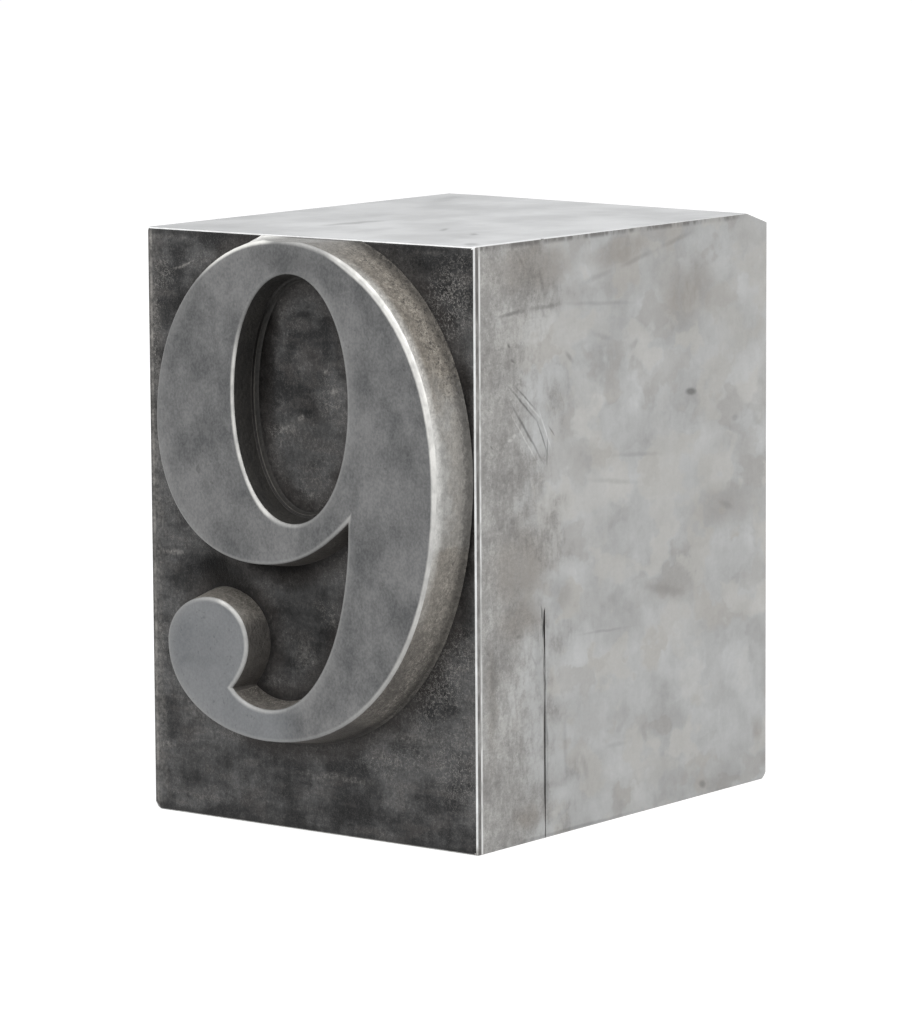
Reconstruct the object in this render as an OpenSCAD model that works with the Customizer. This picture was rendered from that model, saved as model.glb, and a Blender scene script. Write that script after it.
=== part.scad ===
// A block of display type with the figure 9, which stands upright with its printing face towards -Y and
// its foot towards +Y. X runs along the set width and +Z towards the figure's head. A cast plate carries
// the figure. It sits flush on a metal body, soldered over its back and held by anchors cast in from the
// foot. The origin is in the middle of the lower side.

/* [Block] */
// Height to paper, from the foot to the printing face
type_height = 23.317; // [20:0.001:28]
// Body, the size from the lower side to the head side (72 points)
body_size = 25.3; // [24:0.05:32]
// Set width, the size across the figure (50 points)
set_width = 17.57; // [16.8:0.01:24]

/* [Plate] */
// Thickness of the cast plate behind the shoulder
plate_thickness = 4.6; // [3:0.1:6]
// Height of the printing face over the shoulder
relief = 2; // [1.6:0.05:2.6]
// Bevel that handling has worn on the shoulder's edges
shoulder_bevel = 0.15; // [0.05:0.01:0.4]

/* [Figure place] */
// Gap from the left side to the figure
left_bearing = 2.19; // [1:0.01:3]
// Gap from the right side to the figure
right_bearing = 0.64; // [0.6:0.01:2]
// Gap from the head side to the figure
head_bearing = 0.08; // [0:0.01:1]
// Gap from the lower side to the figure
beard = 4.2; // [3:0.05:5]

/* [Figure heights] */
// The three heights share the figure's height in these proportions. Height of the closed bowl
bowl_height = 13.52; // [12:0.02:14.5]
// Height of the gap between bowl and ball
ball_gap = 1.83; // [1.2:0.01:2.5]
// Height of the ball's top over the bottom of the tail
ball_top = 5.67; // [5:0.01:6.2]

/* [Figure strokes] */
// Broad stroke on the left of the bowl
bowl_stroke = 4.03; // [3:0.01:4.6]
// Broad stroke of the stem on the right
stem_stroke = 4.39; // [3:0.01:5]
// Thin stroke over the counter
head_stroke = 1.22; // [0.8:0.01:2]
// Thin stroke under the counter
waist_stroke = 1.65; // [1:0.01:2.2]
// Thin stroke at the bottom of the tail
tail_stroke = 1.15; // [0.8:0.01:1.6]
// Height of the crotch, where bowl and stem part, over the bottom of the bowl
crotch_rise = 2.28; // [1.8:0.02:2.8]

/* [Figure ball] */
// Width of the ball at the tail's end
ball_width = 4.2; // [3.6:0.02:4.6]
// Gap from the figure's left edge in to the ball
ball_inset = 0.46; // [0:0.01:1]

/* [Figure flanks] */
// Draft of the flanks, in degrees
flank_draft = 10; // [4:0.5:13]
// Width of the rounded rim of the printing face
rim_width = 0.08; // [0.02:0.01:0.2]
// Drop of the rounded rim
rim_drop = 0.06; // [0.02:0.01:0.2]
// Depth of the counters under the printing face
counter_depth = 1.3; // [0.8:0.05:1.5]
// Width of the ledge round the foot of the flanks, level with the counters
ledge_width = 0.08; // [0.04:0.01:0.2]
// Drop of that ledge
ledge_drop = 0.06; // [0.02:0.01:0.2]

/* [Joint] */
// Thickness of the solder between plate and body
solder_thickness = 0.15; // [0.05:0.01:0.4]
// How far the solder stops short of the sides
solder_recess = 0.25; // [0.1:0.01:0.8]
// Number of anchors up the middle of the body
anchor_count = 2; // [1:1:2]
// Distance between anchors
anchor_pitch = 11; // [9:0.1:12]
// Diameter of an anchor
anchor_diameter = 4.76; // [3:0.01:5]
// Diameter of an anchor's countersunk head at the foot
anchor_head_diameter = 7.4; // [6:0.1:8]
// Clearance round an anchor where the cast metal has shrunk
anchor_clearance = 0.05; // [0.02:0.01:0.15]
// How far the anchors end below the foot
anchor_recess = 0.4; // [0.1:0.05:1]

/* [Body] */
// Length of the worn bevel on the head edge of the foot, at the right side. It runs out to the left.
foot_bevel_length = 1.75; // [0.5:0.05:3]
// Drop of that bevel at the right side
foot_bevel_drop = 0.55; // [0.2:0.05:1]
// Small bevel on the other edges of the foot
foot_edge_bevel = 0.2; // [0.05:0.01:0.5]

/* [Hidden] */
$fn = 48;

// Where the curves turn level or upright, as shares of the figure's width or height
head_turn_share = 0.46;
stem_turn_share = 0.55;
tail_turn_share = 0.39;
// The same, as shares of the ball's width
ball_left_share = 0.47;
ball_head_share = 0.55;
ball_right_share = 0.43;
// The same, as shares of the counter's width and the bowl's height
bowl_bottom_share = 0.19;
bowl_left_share = 0.42;
// Place of the notch between ball and tail, as a share of the ball's width
notch_share = [0.22, 0.2];

// Roundness of a quarter curve: 0.55 is a circle's, and more is squarer
bowl_fullness = 0.58;
tail_fullness = 0.6;
ball_fullness = 0.57;
// Directions in which the curves leave the crotch and the notch, and how far the handles reach
crotch_direction = [-0.74, -0.67];
crotch_reach = 0.9;
notch_up_direction = [0.65, 0.76];
notch_down_direction = [0.62, -0.78];
notch_reach = 0.17;
// Straight runs in a quarter curve, and in the short curves at the notch
curve_steps = 14;
notch_steps = 6;

// How far the flanks are dressed back inside the block's sides
dressing = 0.02;
// How deep one form is rooted in the next
root = 0.3;
// How far a cutting form runs past the face that it cuts
cut_margin = 1;

// Planes across the block, from the printing face at the front to the foot
face_y = -type_height / 2;
shoulder_y = face_y + relief;
plate_back_y = shoulder_y + plate_thickness;
body_front_y = plate_back_y + solder_thickness;
foot_y = type_height / 2;
half_width = set_width / 2;

// Anchors, from the plate's back to the foot
anchor_length = foot_y - plate_back_y;
anchor_flare = (anchor_head_diameter - anchor_diameter) / 2;

// Edges of the figure's strokes
figure_left = left_bearing - half_width;
figure_right = half_width - right_bearing;
figure_top = body_size - head_bearing;
figure_bottom = beard;
figure_width = figure_right - figure_left;
figure_height = figure_top - figure_bottom;
height_fit = figure_height / (bowl_height + ball_gap + ball_top);
bowl_bottom = figure_top - height_fit * bowl_height;
ball_head = figure_bottom + height_fit * ball_top;
counter_left = figure_left + bowl_stroke;
stem_left = figure_right - stem_stroke;
counter_top = figure_top - head_stroke;
counter_bottom = bowl_bottom + waist_stroke;
tail_top = figure_bottom + tail_stroke;
ball_left = figure_left + ball_inset;
ball_right = ball_left + ball_width;

// Points where the curves turn level or upright, and the two corners between them
head_turn = [figure_left + head_turn_share * figure_width, figure_top];
stem_turn = [figure_right, figure_bottom + stem_turn_share * figure_height];
tail_turn = [figure_left + tail_turn_share * figure_width, figure_bottom];
tail_top_turn = [tail_turn.x, tail_top];
ball_left_turn = [ball_left, ball_head - ball_left_share * ball_width];
ball_head_turn = [ball_left + ball_head_share * ball_width, ball_head];
ball_right_turn = [ball_right, ball_head - ball_right_share * ball_width];
bowl_bottom_turn = [counter_left + bowl_bottom_share * (stem_left - counter_left), bowl_bottom];
bowl_left_turn = [figure_left, bowl_bottom + bowl_left_share * (figure_top - bowl_bottom)];
counter_middle = [counter_left + stem_left, counter_top + counter_bottom] / 2;
counter_head_turn = [counter_middle.x, counter_top];
counter_right_turn = [stem_left, counter_middle.y];
counter_foot_turn = [counter_middle.x, counter_bottom];
counter_left_turn = [counter_left, counter_middle.y];
crotch = [stem_left, bowl_bottom + crotch_rise];
notch = [ball_right - notch_share.x * ball_width, tail_top + notch_share.y * ball_width];

// How far a flank has spread at a depth under the printing face
function flank_spread(depth) = rim_width + (depth - rim_drop) * tan(flank_draft);

// Cubic curve from a to d with handles b and c, without its last point. Samples next to a corner at
// its start or end can be left out, so that the stretch there is longer than the flanks' spread.
function curve(a, b, c, d, steps = curve_steps, skip_first = 0, skip_last = 0) = [for (i = [0 : steps - 1])
    if (i == 0 || (i > skip_first && i < steps - skip_last))
        let (t = i / steps, s = 1 - t) s * s * s * a + 3 * s * s * t * b + 3 * s * t * t * c + t * t * t * d];

// Quarter turn that leaves a level and reaches b upright
function level_to_upright(a, b, fullness, skip_last = 0) =
    curve(a, [a.x + fullness * (b.x - a.x), a.y], [b.x, b.y - fullness * (b.y - a.y)], b,
        skip_last = skip_last);

// Quarter turn that leaves a upright and reaches b level
function upright_to_level(a, b, fullness) =
    curve(a, [a.x, a.y + fullness * (b.y - a.y)], [b.x - fullness * (b.x - a.x), b.y], b);

// Edge of the bowl, clockwise from the crotch over the head to the stem's right edge
bowl_edge = concat(
    curve(crotch, crotch + crotch_reach * crotch_rise * crotch_direction,
        [bowl_bottom_turn.x + crotch_rise, bowl_bottom], bowl_bottom_turn, curve_steps + 2, skip_first = 3),
    level_to_upright(bowl_bottom_turn, bowl_left_turn, tail_fullness),
    upright_to_level(bowl_left_turn, head_turn, bowl_fullness),
    level_to_upright(head_turn, stem_turn, bowl_fullness));

// Edge of the tail, on from the stem's right edge round the ball and back up to the crotch
notch_handle = notch_reach * ball_width;
tail_edge = concat(
    upright_to_level(stem_turn, tail_turn, tail_fullness),
    level_to_upright(tail_turn, ball_left_turn, ball_fullness),
    upright_to_level(ball_left_turn, ball_head_turn, ball_fullness),
    level_to_upright(ball_head_turn, ball_right_turn, ball_fullness),
    curve(ball_right_turn, ball_right_turn - [0, notch_handle], notch + notch_handle * notch_up_direction,
        notch, notch_steps, skip_last = 1),
    curve(notch, notch + notch_handle * notch_down_direction, tail_top_turn - [notch_handle, 0],
        tail_top_turn, notch_steps, skip_first = 1),
    level_to_upright(tail_top_turn, crotch, tail_fullness, skip_last = 1));

// Edge of the closed counter, clockwise from its right
counter_edge = concat(
    upright_to_level(counter_right_turn, counter_foot_turn, bowl_fullness),
    level_to_upright(counter_foot_turn, counter_left_turn, bowl_fullness),
    upright_to_level(counter_left_turn, counter_head_turn, bowl_fullness),
    level_to_upright(counter_head_turn, counter_right_turn, bowl_fullness));

// Unit vector square to the stretch from a to b, to the left of it
function left_of(a, b) = [a.y - b.y, b.x - a.x] / norm(b - a);

// A clockwise edge moved outwards by a distance, its stretches kept parallel
function spread_edge(edge, distance) = [for (i = [0 : len(edge) - 1])
    let (before = left_of(edge[(i + len(edge) - 1) % len(edge)], edge[i]),
         after = left_of(edge[i], edge[(i + 1) % len(edge)]))
    edge[i] + distance * (before + after) / (1 + before * after)];

// A point of a flank at a height, dressed back inside the sides of the block
function dressed(p, height) =
    let (side = half_width - dressing) [max(-side, min(side, p.x)), min(body_size - dressing, p.y), height];

// Four-cornered faces between two rings of count points that start at the given numbers, looking
// outwards from clockwise rings
function strip(upper, lower, count) = [for (i = [0 : count - 1])
    let (next = (i + 1) % count) [upper + i, lower + i, lower + next, upper + next]];

// Triangles between two chains of points that run side by side, the second to the right of the first.
// Each goes on along the chain that gives the shorter line across.
function zip(points, left, right, i = 0, j = 0, done = []) =
    let (left_over = i < len(left) - 1, right_over = j < len(right) - 1)
    !left_over && !right_over ? done
    : left_over && (!right_over
            || norm(points[left[i + 1]] - points[right[j]]) < norm(points[left[i]] - points[right[j + 1]]))
        ? zip(points, left, right, i + 1, j, concat(done, [[left[i], left[i + 1], right[j]]]))
        : zip(points, left, right, i, j + 1, concat(done, [[left[i], right[j + 1], right[j]]]));

// The raised figure as one closed form, in levels from the printing face down to its root in the plate.
// A level is [height, spread of the flanks, spread of the counter's wall], and has the figure's edge and
// then the counter's. The land lies between edge and counter round the bowl, and between the two sides of
// the tail from the stem to the head of the ball.
module raised_figure() {
    edge = concat(bowl_edge, tail_edge);
    count = len(edge);
    loop = len(counter_edge);
    stem = len(bowl_edge);
    head = stem - curve_steps;
    ball = stem + 3 * curve_steps;
    floor_height = relief - counter_depth;
    flank_foot = flank_spread(counter_depth);
    levels = [[relief, 0, 0],
        [relief - rim_drop, rim_width, rim_width],
        [floor_height, flank_foot, flank_foot],
        [floor_height - ledge_drop, flank_foot + ledge_width, flank_foot],
        [-root, flank_spread(relief + root) + ledge_width, flank_foot]];
    level_size = count + loop;
    floor_level = 2 * level_size;
    root_level = 4 * level_size;
    points = [for (level = levels) each concat(
        [for (p = spread_edge(edge, level[1])) dressed(p, level[0])],
        [for (p = spread_edge(counter_edge, -level[2])) [p.x, p.y, level[0]]])];
    land = concat(
        zip(points, concat([for (i = [head : stem]) i], [for (i = [0 : head]) i]),
            [for (i = [0 : loop]) count + (loop - curve_steps + i) % loop]),
        zip(points, [for (i = [stem : ball]) i], concat([0], [for (i = [count - 1 : -1 : ball + 1]) i])));
    flank = [for (level = [0 : level_size : root_level - 1]) each strip(level, level + level_size, count)];
    counter_wall = [for (level = [0 : level_size : floor_level - 1])
        for (face = strip(level + count, level + level_size + count, loop))
            [face[3], face[2], face[1], face[0]]];
    counter_floor = [for (i = [0 : loop - 1]) floor_level + count + i];
    underside = concat([for (face = land) [for (i = [2 : -1 : 0]) root_level + face[i]]],
        [[for (i = [loop - 1 : -1 : 0]) root_level + count + i]]);
    polyhedron(points = points, faces = concat(land, flank, counter_wall, [counter_floor], underside));
}

// The floor of the open counter, whose edge runs inside the bowl, the stem, the tail and the ball
module open_counter_floor() {
    ball_middle = ball_left + ball_width / 2;
    stem_middle = stem_left + stem_stroke / 2;
    translate([0, 0, -root]) linear_extrude(relief - counter_depth + root) polygon([
        [ball_middle, ball_left_turn.y],
        [counter_left - bowl_stroke / 2, counter_bottom],
        [counter_middle.x, bowl_bottom + waist_stroke / 2],
        [stem_middle, crotch.y],
        [stem_middle, ball_left_turn.y],
        [tail_top_turn.x, figure_bottom + tail_stroke / 2],
        [ball_middle, tail_top]]);
}

// Stands a flat outline on the shoulder, rising towards the printing face
module on_shoulder() {
    translate([0, shoulder_y, 0]) rotate([90, 0, 0]) children();
}

module figure_plate() {
    color("dimgray") union() {
        bevelled_plate();
        on_shoulder() raised_figure();
        on_shoulder() open_counter_floor();
    }
}

// The plate behind the shoulder, with its front edges bevelled
module bevelled_plate() {
    bevel_y = shoulder_y + shoulder_bevel;
    bevel_x = half_width - shoulder_bevel;
    reach = shoulder_bevel + cut_margin;
    crossed([[-half_width, plate_back_y], [-half_width, bevel_y], [-bevel_x, shoulder_y],
             [bevel_x, shoulder_y], [half_width, bevel_y], [half_width, plate_back_y]],
            [[plate_back_y + cut_margin, 0], [bevel_y, 0], [bevel_y - reach, reach],
             [bevel_y - reach, body_size - reach], [bevel_y, body_size],
             [plate_back_y + cut_margin, body_size]]);
}

// What an upright prism of the plan [x, y] and a prism across the block of the side profile [y, z] share.
// Each runs past the faces that the other makes.
module crossed(plan, side) {
    intersection() {
        translate([0, 0, -cut_margin]) linear_extrude(body_size + 2 * cut_margin) polygon(plan);
        rotate([90, 0, 90]) linear_extrude(set_width + 2 * cut_margin, center = true) polygon(side);
    }
}

// Puts copies up the middle of the body, one at each anchor
module at_anchors() {
    for (i = [0 : anchor_count - 1])
        translate([0, 0, body_size / 2 + (i - (anchor_count - 1) / 2) * anchor_pitch]) children();
}

// Turns a form about each anchor's line. Its half profile is the shank, grown by a clearance, from the
// plate's back to the countersunk head, and then the head's own points.
module anchor_form(grow, head) {
    shank = anchor_diameter / 2 + grow;
    at_anchors() translate([0, plate_back_y, 0]) rotate([-90, 0, 0]) rotate_extrude() polygon(concat(
        [[0, 0], [shank, 0], [shank, anchor_length - anchor_flare]], head, [[0, head[len(head) - 1].y]]));
}

module anchor_holes() {
    mouth = anchor_head_diameter / 2 + anchor_clearance;
    anchor_form(anchor_clearance, [[mouth + cut_margin, anchor_length + cut_margin]]);
}

module solder_film() {
    color("silver") difference() {
        translate([solder_recess - half_width, plate_back_y, solder_recess])
            cube([set_width - 2 * solder_recess, solder_thickness, body_size - 2 * solder_recess]);
        at_anchors() translate([0, plate_back_y - cut_margin, 0]) rotate([-90, 0, 0])
            cylinder(d = anchor_diameter + 2 * anchor_clearance, h = solder_thickness + 2 * cut_margin);
    }
}

module mount_body() {
    edge_y = foot_y - foot_edge_bevel;
    edge_x = half_width - foot_edge_bevel;
    past_y = foot_y + cut_margin;
    past_edge = past_y - edge_y;
    color("darkgray") difference() {
        crossed([[-half_width, body_front_y], [half_width, body_front_y], [half_width, edge_y],
                 [edge_x, foot_y], [-edge_x, foot_y], [-half_width, edge_y]],
                [[body_front_y - cut_margin, 0], [edge_y, 0], [past_y, past_edge],
                 [past_y, body_size - past_edge], [edge_y, body_size],
                 [body_front_y - cut_margin, body_size]]);
        anchor_holes();
        worn_bevel();
    }
}

// What the worn bevel on the head edge of the foot takes away: all that lies over a plane through the
// edge's left end and through both sides of the bevel at the right
module worn_bevel() {
    left_end = [-half_width, foot_y, body_size];
    right_end = [half_width, foot_y - foot_bevel_length, body_size];
    over = cross(right_end - left_end, [0, foot_bevel_length, -foot_bevel_drop]);
    reach = 2 * type_height;
    translate(left_end) rotate([0, acos(over.z / norm(over)), atan2(over.y, over.x)])
        translate([-reach, -reach, 0]) cube([2 * reach, 2 * reach, reach]);
}

module anchor_plugs() {
    color("gainsboro")
        anchor_form(0, [[anchor_head_diameter / 2 - anchor_recess, anchor_length - anchor_recess]]);
}

figure_plate();
solder_film();
mount_body();
anchor_plugs();
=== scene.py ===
"""Looks of a block of display type with the figure 9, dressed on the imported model.

Sizes in the classes are millimetres in the part's frame: X along the set width, Y from the printing face
to the foot, and Z from the lower side to the head side. Blender's meshes are in metres.
"""
import enum
import logging
import math
from dataclasses import dataclass
from typing import Callable, ClassVar, Optional, Sequence, Union

import bmesh
import bpy
from mathutils import Matrix, Vector
from mathutils.geometry import interpolate_bezier
from mathutils.kdtree import KDTree


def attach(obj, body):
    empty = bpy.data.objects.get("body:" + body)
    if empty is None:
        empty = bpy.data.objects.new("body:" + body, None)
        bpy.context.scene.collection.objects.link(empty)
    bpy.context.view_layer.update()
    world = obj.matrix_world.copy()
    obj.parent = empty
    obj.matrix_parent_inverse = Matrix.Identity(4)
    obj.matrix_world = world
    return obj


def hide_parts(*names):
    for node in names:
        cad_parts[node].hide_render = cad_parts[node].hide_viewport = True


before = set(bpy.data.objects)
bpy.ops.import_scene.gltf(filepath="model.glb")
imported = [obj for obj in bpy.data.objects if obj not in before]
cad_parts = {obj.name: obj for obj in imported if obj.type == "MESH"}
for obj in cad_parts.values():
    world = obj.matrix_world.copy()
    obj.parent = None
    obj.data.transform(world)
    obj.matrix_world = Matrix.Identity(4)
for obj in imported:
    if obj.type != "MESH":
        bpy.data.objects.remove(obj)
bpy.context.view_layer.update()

LOG = logging.getLogger("type_block")
MM = 0.001
# Distances in millimetres under which two places count as one, loosely and strictly
NEAR = 0.01
TOUCHING = 0.001
# Share of a face's direction that lies along an axis, from which the face is taken to be square to it
SQUARE = 0.9
Colour = tuple[float, float, float, float]
Point = tuple[float, float]


class Pick(enum.Enum):
    """Kinds of mesh element that an operator works on."""

    POINTS = "VERT"
    EDGES = "EDGE"
    FACES = "FACE"


class Finish(enum.Enum):
    """The finishes that the real block shows."""

    LAND = "rubbed_face"
    FLANK = "drafted_flank"
    WALL = "counter_wall"
    CAST = "dark_cast"
    RIGHT = "right_side"
    LEFT = "left_side"
    HEAD = "head_side"
    LOWER = "lower_side"
    FOOT = "foot"
    EDGE = "worn_edge"
    JOINT = "joint"
    ANCHOR = "anchor_end"


class Workpiece:
    """A mesh on the bench, shaped by operators on the elements that it picks."""

    def __init__(self, name: str) -> None:
        """Takes the object that an operator has just made, and settles its place in its mesh.

        Args:
            name: Name of the piece.
        """
        self.thing = bpy.context.object
        self.thing.name = self.thing.data.name = name
        self.settle()

    @staticmethod
    def clear() -> None:
        """Leaves edit mode and deselects everything."""
        if bpy.context.mode != "OBJECT":
            bpy.ops.object.mode_set(mode="OBJECT")
        bpy.ops.object.select_all(action="DESELECT")

    @classmethod
    def block(cls, name: str, low: Sequence[float], high: Sequence[float]) -> "Workpiece":
        """Adds a box between two corners, to be shaped further.

        Args:
            name: Name of the piece.
            low: Lowest corner in millimetres.
            high: Highest corner in millimetres.

        Returns:
            The box as a workpiece.
        """
        cls.clear()
        middle = [(a + b) / 2 * MM for a, b in zip(low, high)]
        bpy.ops.mesh.primitive_cube_add(size=MM, location=middle, scale=[b - a for a, b in zip(low, high)])
        return cls(name)

    def settle(self) -> None:
        """Applies place, turn and scale to the mesh."""
        self.alone()
        bpy.ops.object.transform_apply(location=True, rotation=True, scale=True)

    def alone(self) -> None:
        """Makes this the one selected and active object, in object mode."""
        self.clear()
        self.thing.select_set(True)
        bpy.context.view_layer.objects.active = self.thing

    def edit(self, pick: Pick = Pick.FACES) -> None:
        """Enters edit mode on this piece alone, to work on one kind of element."""
        self.alone()
        bpy.ops.object.mode_set(mode="EDIT")
        self.nothing(pick)

    @staticmethod
    def nothing(pick: Pick) -> None:
        """Goes over to one kind of element and deselects them all."""
        bpy.ops.mesh.select_mode(type=pick.value)
        bpy.ops.mesh.select_all(action="DESELECT")

    def choose(self, pick: Pick, wanted: Callable[[Vector, object], bool]) -> None:
        """Selects the elements that pass a test, and no others.

        Args:
            pick: Kind of element to select.
            wanted: Test of an element's middle in millimetres and the element.
        """
        self.nothing(pick)
        mesh = bmesh.from_edit_mesh(self.thing.data)
        elements = {Pick.POINTS: mesh.verts, Pick.EDGES: mesh.edges, Pick.FACES: mesh.faces}[pick]
        for element in [e for e in elements if wanted(self.middle(e) / MM, e)]:
            element.select_set(True)
        bmesh.update_edit_mesh(self.thing.data)

    @staticmethod
    def middle(element: object) -> Vector:
        """Middle of a mesh element, in metres."""
        points = [element] if isinstance(element, bmesh.types.BMVert) else list(element.verts)
        return sum((p.co for p in points), Vector()) / len(points)

    def everything(self) -> None:
        """Selects the whole mesh in edit mode."""
        bpy.ops.mesh.select_all(action="SELECT")

    def face_out(self) -> None:
        """Turns all faces outwards."""
        self.everything()
        bpy.ops.mesh.normals_make_consistent(inside=False)

    def pull(self, offset: Sequence[float]) -> None:
        """Extrudes what is selected by an offset in millimetres."""
        bpy.ops.mesh.extrude_region_move(TRANSFORM_OT_translate={"value": [a * MM for a in offset]})

    def move(self, offset: Sequence[float]) -> None:
        """Moves what is selected by an offset in millimetres."""
        bpy.ops.transform.translate(value=[a * MM for a in offset])

    @staticmethod
    def widen(share: float, height: float) -> None:
        """Scales what is selected along x and z about a point on the middle line, at a height in millimetres."""
        bpy.ops.transform.resize(value=(share, 1, share), center_override=(0, 0, height * MM))

    def fatten(self, distance: float) -> None:
        """Moves what is selected outwards by an even distance in millimetres."""
        bpy.ops.transform.shrink_fatten(value=distance * MM, use_even_offset=True)

    @staticmethod
    def inset(width: float, even: bool = True) -> None:
        """Insets the selected region by a width in millimetres, with an even offset or without spikes at corners."""
        bpy.ops.mesh.inset(thickness=width * MM, use_even_offset=even)

    def plane_cut(self, point: Sequence[float], normal: Sequence[float], trim: bool = False) -> None:
        """Cuts the whole mesh along a plane.

        Args:
            point: Point on the plane in millimetres.
            normal: Direction square to the plane.
            trim: Whether what lies beyond the plane goes and the cut is closed.
        """
        self.everything()
        bpy.ops.mesh.bisect(plane_co=[a * MM for a in point], plane_no=Vector(normal).normalized(), use_fill=trim,
                            clear_outer=trim, threshold=1e-6)

    def knock(self, corner: Sequence[float], outwards: Sequence[float], depth: float, lean: float = 0.45) -> None:
        """Rounds a knocked corner off by three flat cuts.

        Args:
            corner: The corner in millimetres.
            outwards: Signs of the three axes that point out of the piece there.
            depth: How far the corner is cut back along its edges.
            lean: How much each cut leans towards the two axes that it isn't turned to.
        """
        for turned in range(3):
            share = [1.0 if axis == turned else lean for axis in range(3)]
            point = [c - o * depth / 3 for c, o in zip(corner, outwards)]
            self.plane_cut(point, [o * a for o, a in zip(outwards, share)], trim=True)

    def rule(self, wanted: Callable[[Vector, object], bool], axis: int, low: float, high: float,
             pitch: float) -> None:
        """Cuts the faces that pass a test along evenly spaced planes.

        Args:
            wanted: Test of a face's middle in millimetres and the face.
            axis: Axis that the planes are square to.
            low: Where the first one lies.
            high: Where the cuts end.
            pitch: Distance between two.
        """
        normal = [float(i == axis) for i in range(3)]
        for number in range(math.ceil((high - low) / pitch)):
            self.choose(Pick.FACES, wanted)
            bpy.ops.mesh.bisect(plane_co=[a * (low + number * pitch) * MM for a in normal], plane_no=normal,
                                threshold=1e-7)

    def bevel(self, widths: Callable[[Vector, object], float], segments: int = 3) -> None:
        """Rounds edges by a Bevel modifier, each by its own width.

        Args:
            widths: Width in millimetres for an edge's middle and the edge, or 0.
            segments: Faces across each rounded edge.
        """
        self.alone()
        mesh = bmesh.new()
        mesh.from_mesh(self.thing.data)
        layers = mesh.edges.layers.float
        weight = layers.get("bevel_weight_edge") or layers.new("bevel_weight_edge")
        values = {e: widths(self.middle(e) / MM, e) for e in mesh.edges}
        widest = max(values.values())
        for edge, value in values.items():
            edge[weight] = value / widest
        mesh.to_mesh(self.thing.data)
        mesh.free()
        self.modify("BEVEL", width=widest * MM, segments=segments, limit_method="WEIGHT")

    def modify(self, kind: str, **settings: object) -> None:
        """Adds a modifier and applies it.

        Args:
            kind: Type of the modifier.
            settings: Its properties.
        """
        self.alone()
        modifier = self.thing.modifiers.new(kind.lower(), kind)
        for name, value in settings.items():
            setattr(modifier, name, value)
        bpy.ops.object.modifier_apply(modifier=modifier.name)

    def join(self, *others: "Workpiece") -> None:
        """Joins other workpieces into this one."""
        self.alone()
        for other in others:
            other.thing.select_set(True)
        bpy.ops.object.join()

    def smooth(self, flat_area: float, degrees: float = 32.0, level: float = math.inf) -> None:
        """Shades small rounded faces smooth, and broad or level ones flat.

        Args:
            flat_area: Area in square millimetres from which a face is flat.
            degrees: Angle from which an edge between smooth faces is sharp.
            level: How squarely a face looks to the printing side or the foot, from which it is flat.
        """
        self.alone()
        bpy.ops.object.shade_smooth_by_angle(angle=math.radians(degrees))
        for face in self.thing.data.polygons:
            if face.area > flat_area * MM * MM or abs(face.normal.y) > level:
                face.use_smooth = False

    def dress(self, finishes: dict[Finish, bpy.types.Material],
              finish_of: Callable[[Vector, Vector], Finish]) -> None:
        """Gives each face its finish.

        Args:
            finishes: Material of each finish.
            finish_of: Finish for a face's middle in millimetres and its normal.
        """
        mesh = self.thing.data
        mesh.materials.clear()
        chosen = [finish_of(face.center / MM, face.normal) for face in mesh.polygons]
        used = [finish for finish in Finish if finish in chosen]
        for finish in used:
            mesh.materials.append(finishes[finish])
        for face, finish in zip(mesh.polygons, chosen):
            face.material_index = used.index(finish)

    def deliver(self, node: str, slot: str) -> bpy.types.Object:
        """Hands the piece over to the frame.

        Args:
            node: CAD node that it stands for.
            slot: Material slot, which is not used.

        Returns:
            The finished object.
        """
        self.clear()
        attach(self.thing, "root")
        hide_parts(node)
        mesh = self.thing.data
        mesh.calc_loop_triangles()
        LOG.info("%s: %d triangles, %d finishes", self.thing.name, len(mesh.loop_triangles), len(mesh.materials))
        return self.thing


@dataclass(frozen=True)
class Block:
    """Main sizes of the block, the same as in the part's source."""

    type_height: float = 23.317
    body_size: float = 25.3
    set_width: float = 17.57
    relief: float = 2.0
    plate_thickness: float = 4.6
    solder_thickness: float = 0.15

    @property
    def half_width(self) -> float:
        """Distance of the sides from the middle."""
        return self.set_width / 2

    @property
    def face_y(self) -> float:
        """Plane of the printing face."""
        return -self.type_height / 2

    @property
    def shoulder_y(self) -> float:
        """Plane of the shoulder."""
        return self.face_y + self.relief

    @property
    def plate_back_y(self) -> float:
        """Back plane of the plate."""
        return self.shoulder_y + self.plate_thickness

    @property
    def body_front_y(self) -> float:
        """Front plane of the body."""
        return self.plate_back_y + self.solder_thickness

    @property
    def foot_y(self) -> float:
        """Plane of the foot."""
        return self.type_height / 2


@dataclass(frozen=True)
class Stretch:
    """One curve of an outline, in the plane of the face: [x, z] ends and handles."""

    start: Vector
    leaving: Vector
    arriving: Vector
    end: Vector

    @classmethod
    def quarter(cls, start: Vector, end: Vector, fullness: float, level_first: bool) -> "Stretch":
        """Quarter turn between a level and an upright direction.

        Args:
            start: Where it starts.
            end: Where it ends.
            fullness: Reach of the handles as a share of each side, 0.55 for a circle.
            level_first: Whether it starts level and ends upright, or the other way round.

        Returns:
            The curve.
        """
        across, up = Vector((end.x - start.x, 0)), Vector((0, end.y - start.y))
        first, last = (across, up) if level_first else (up, across)
        return cls(start, start + fullness * first, end - fullness * last, end)


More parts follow.
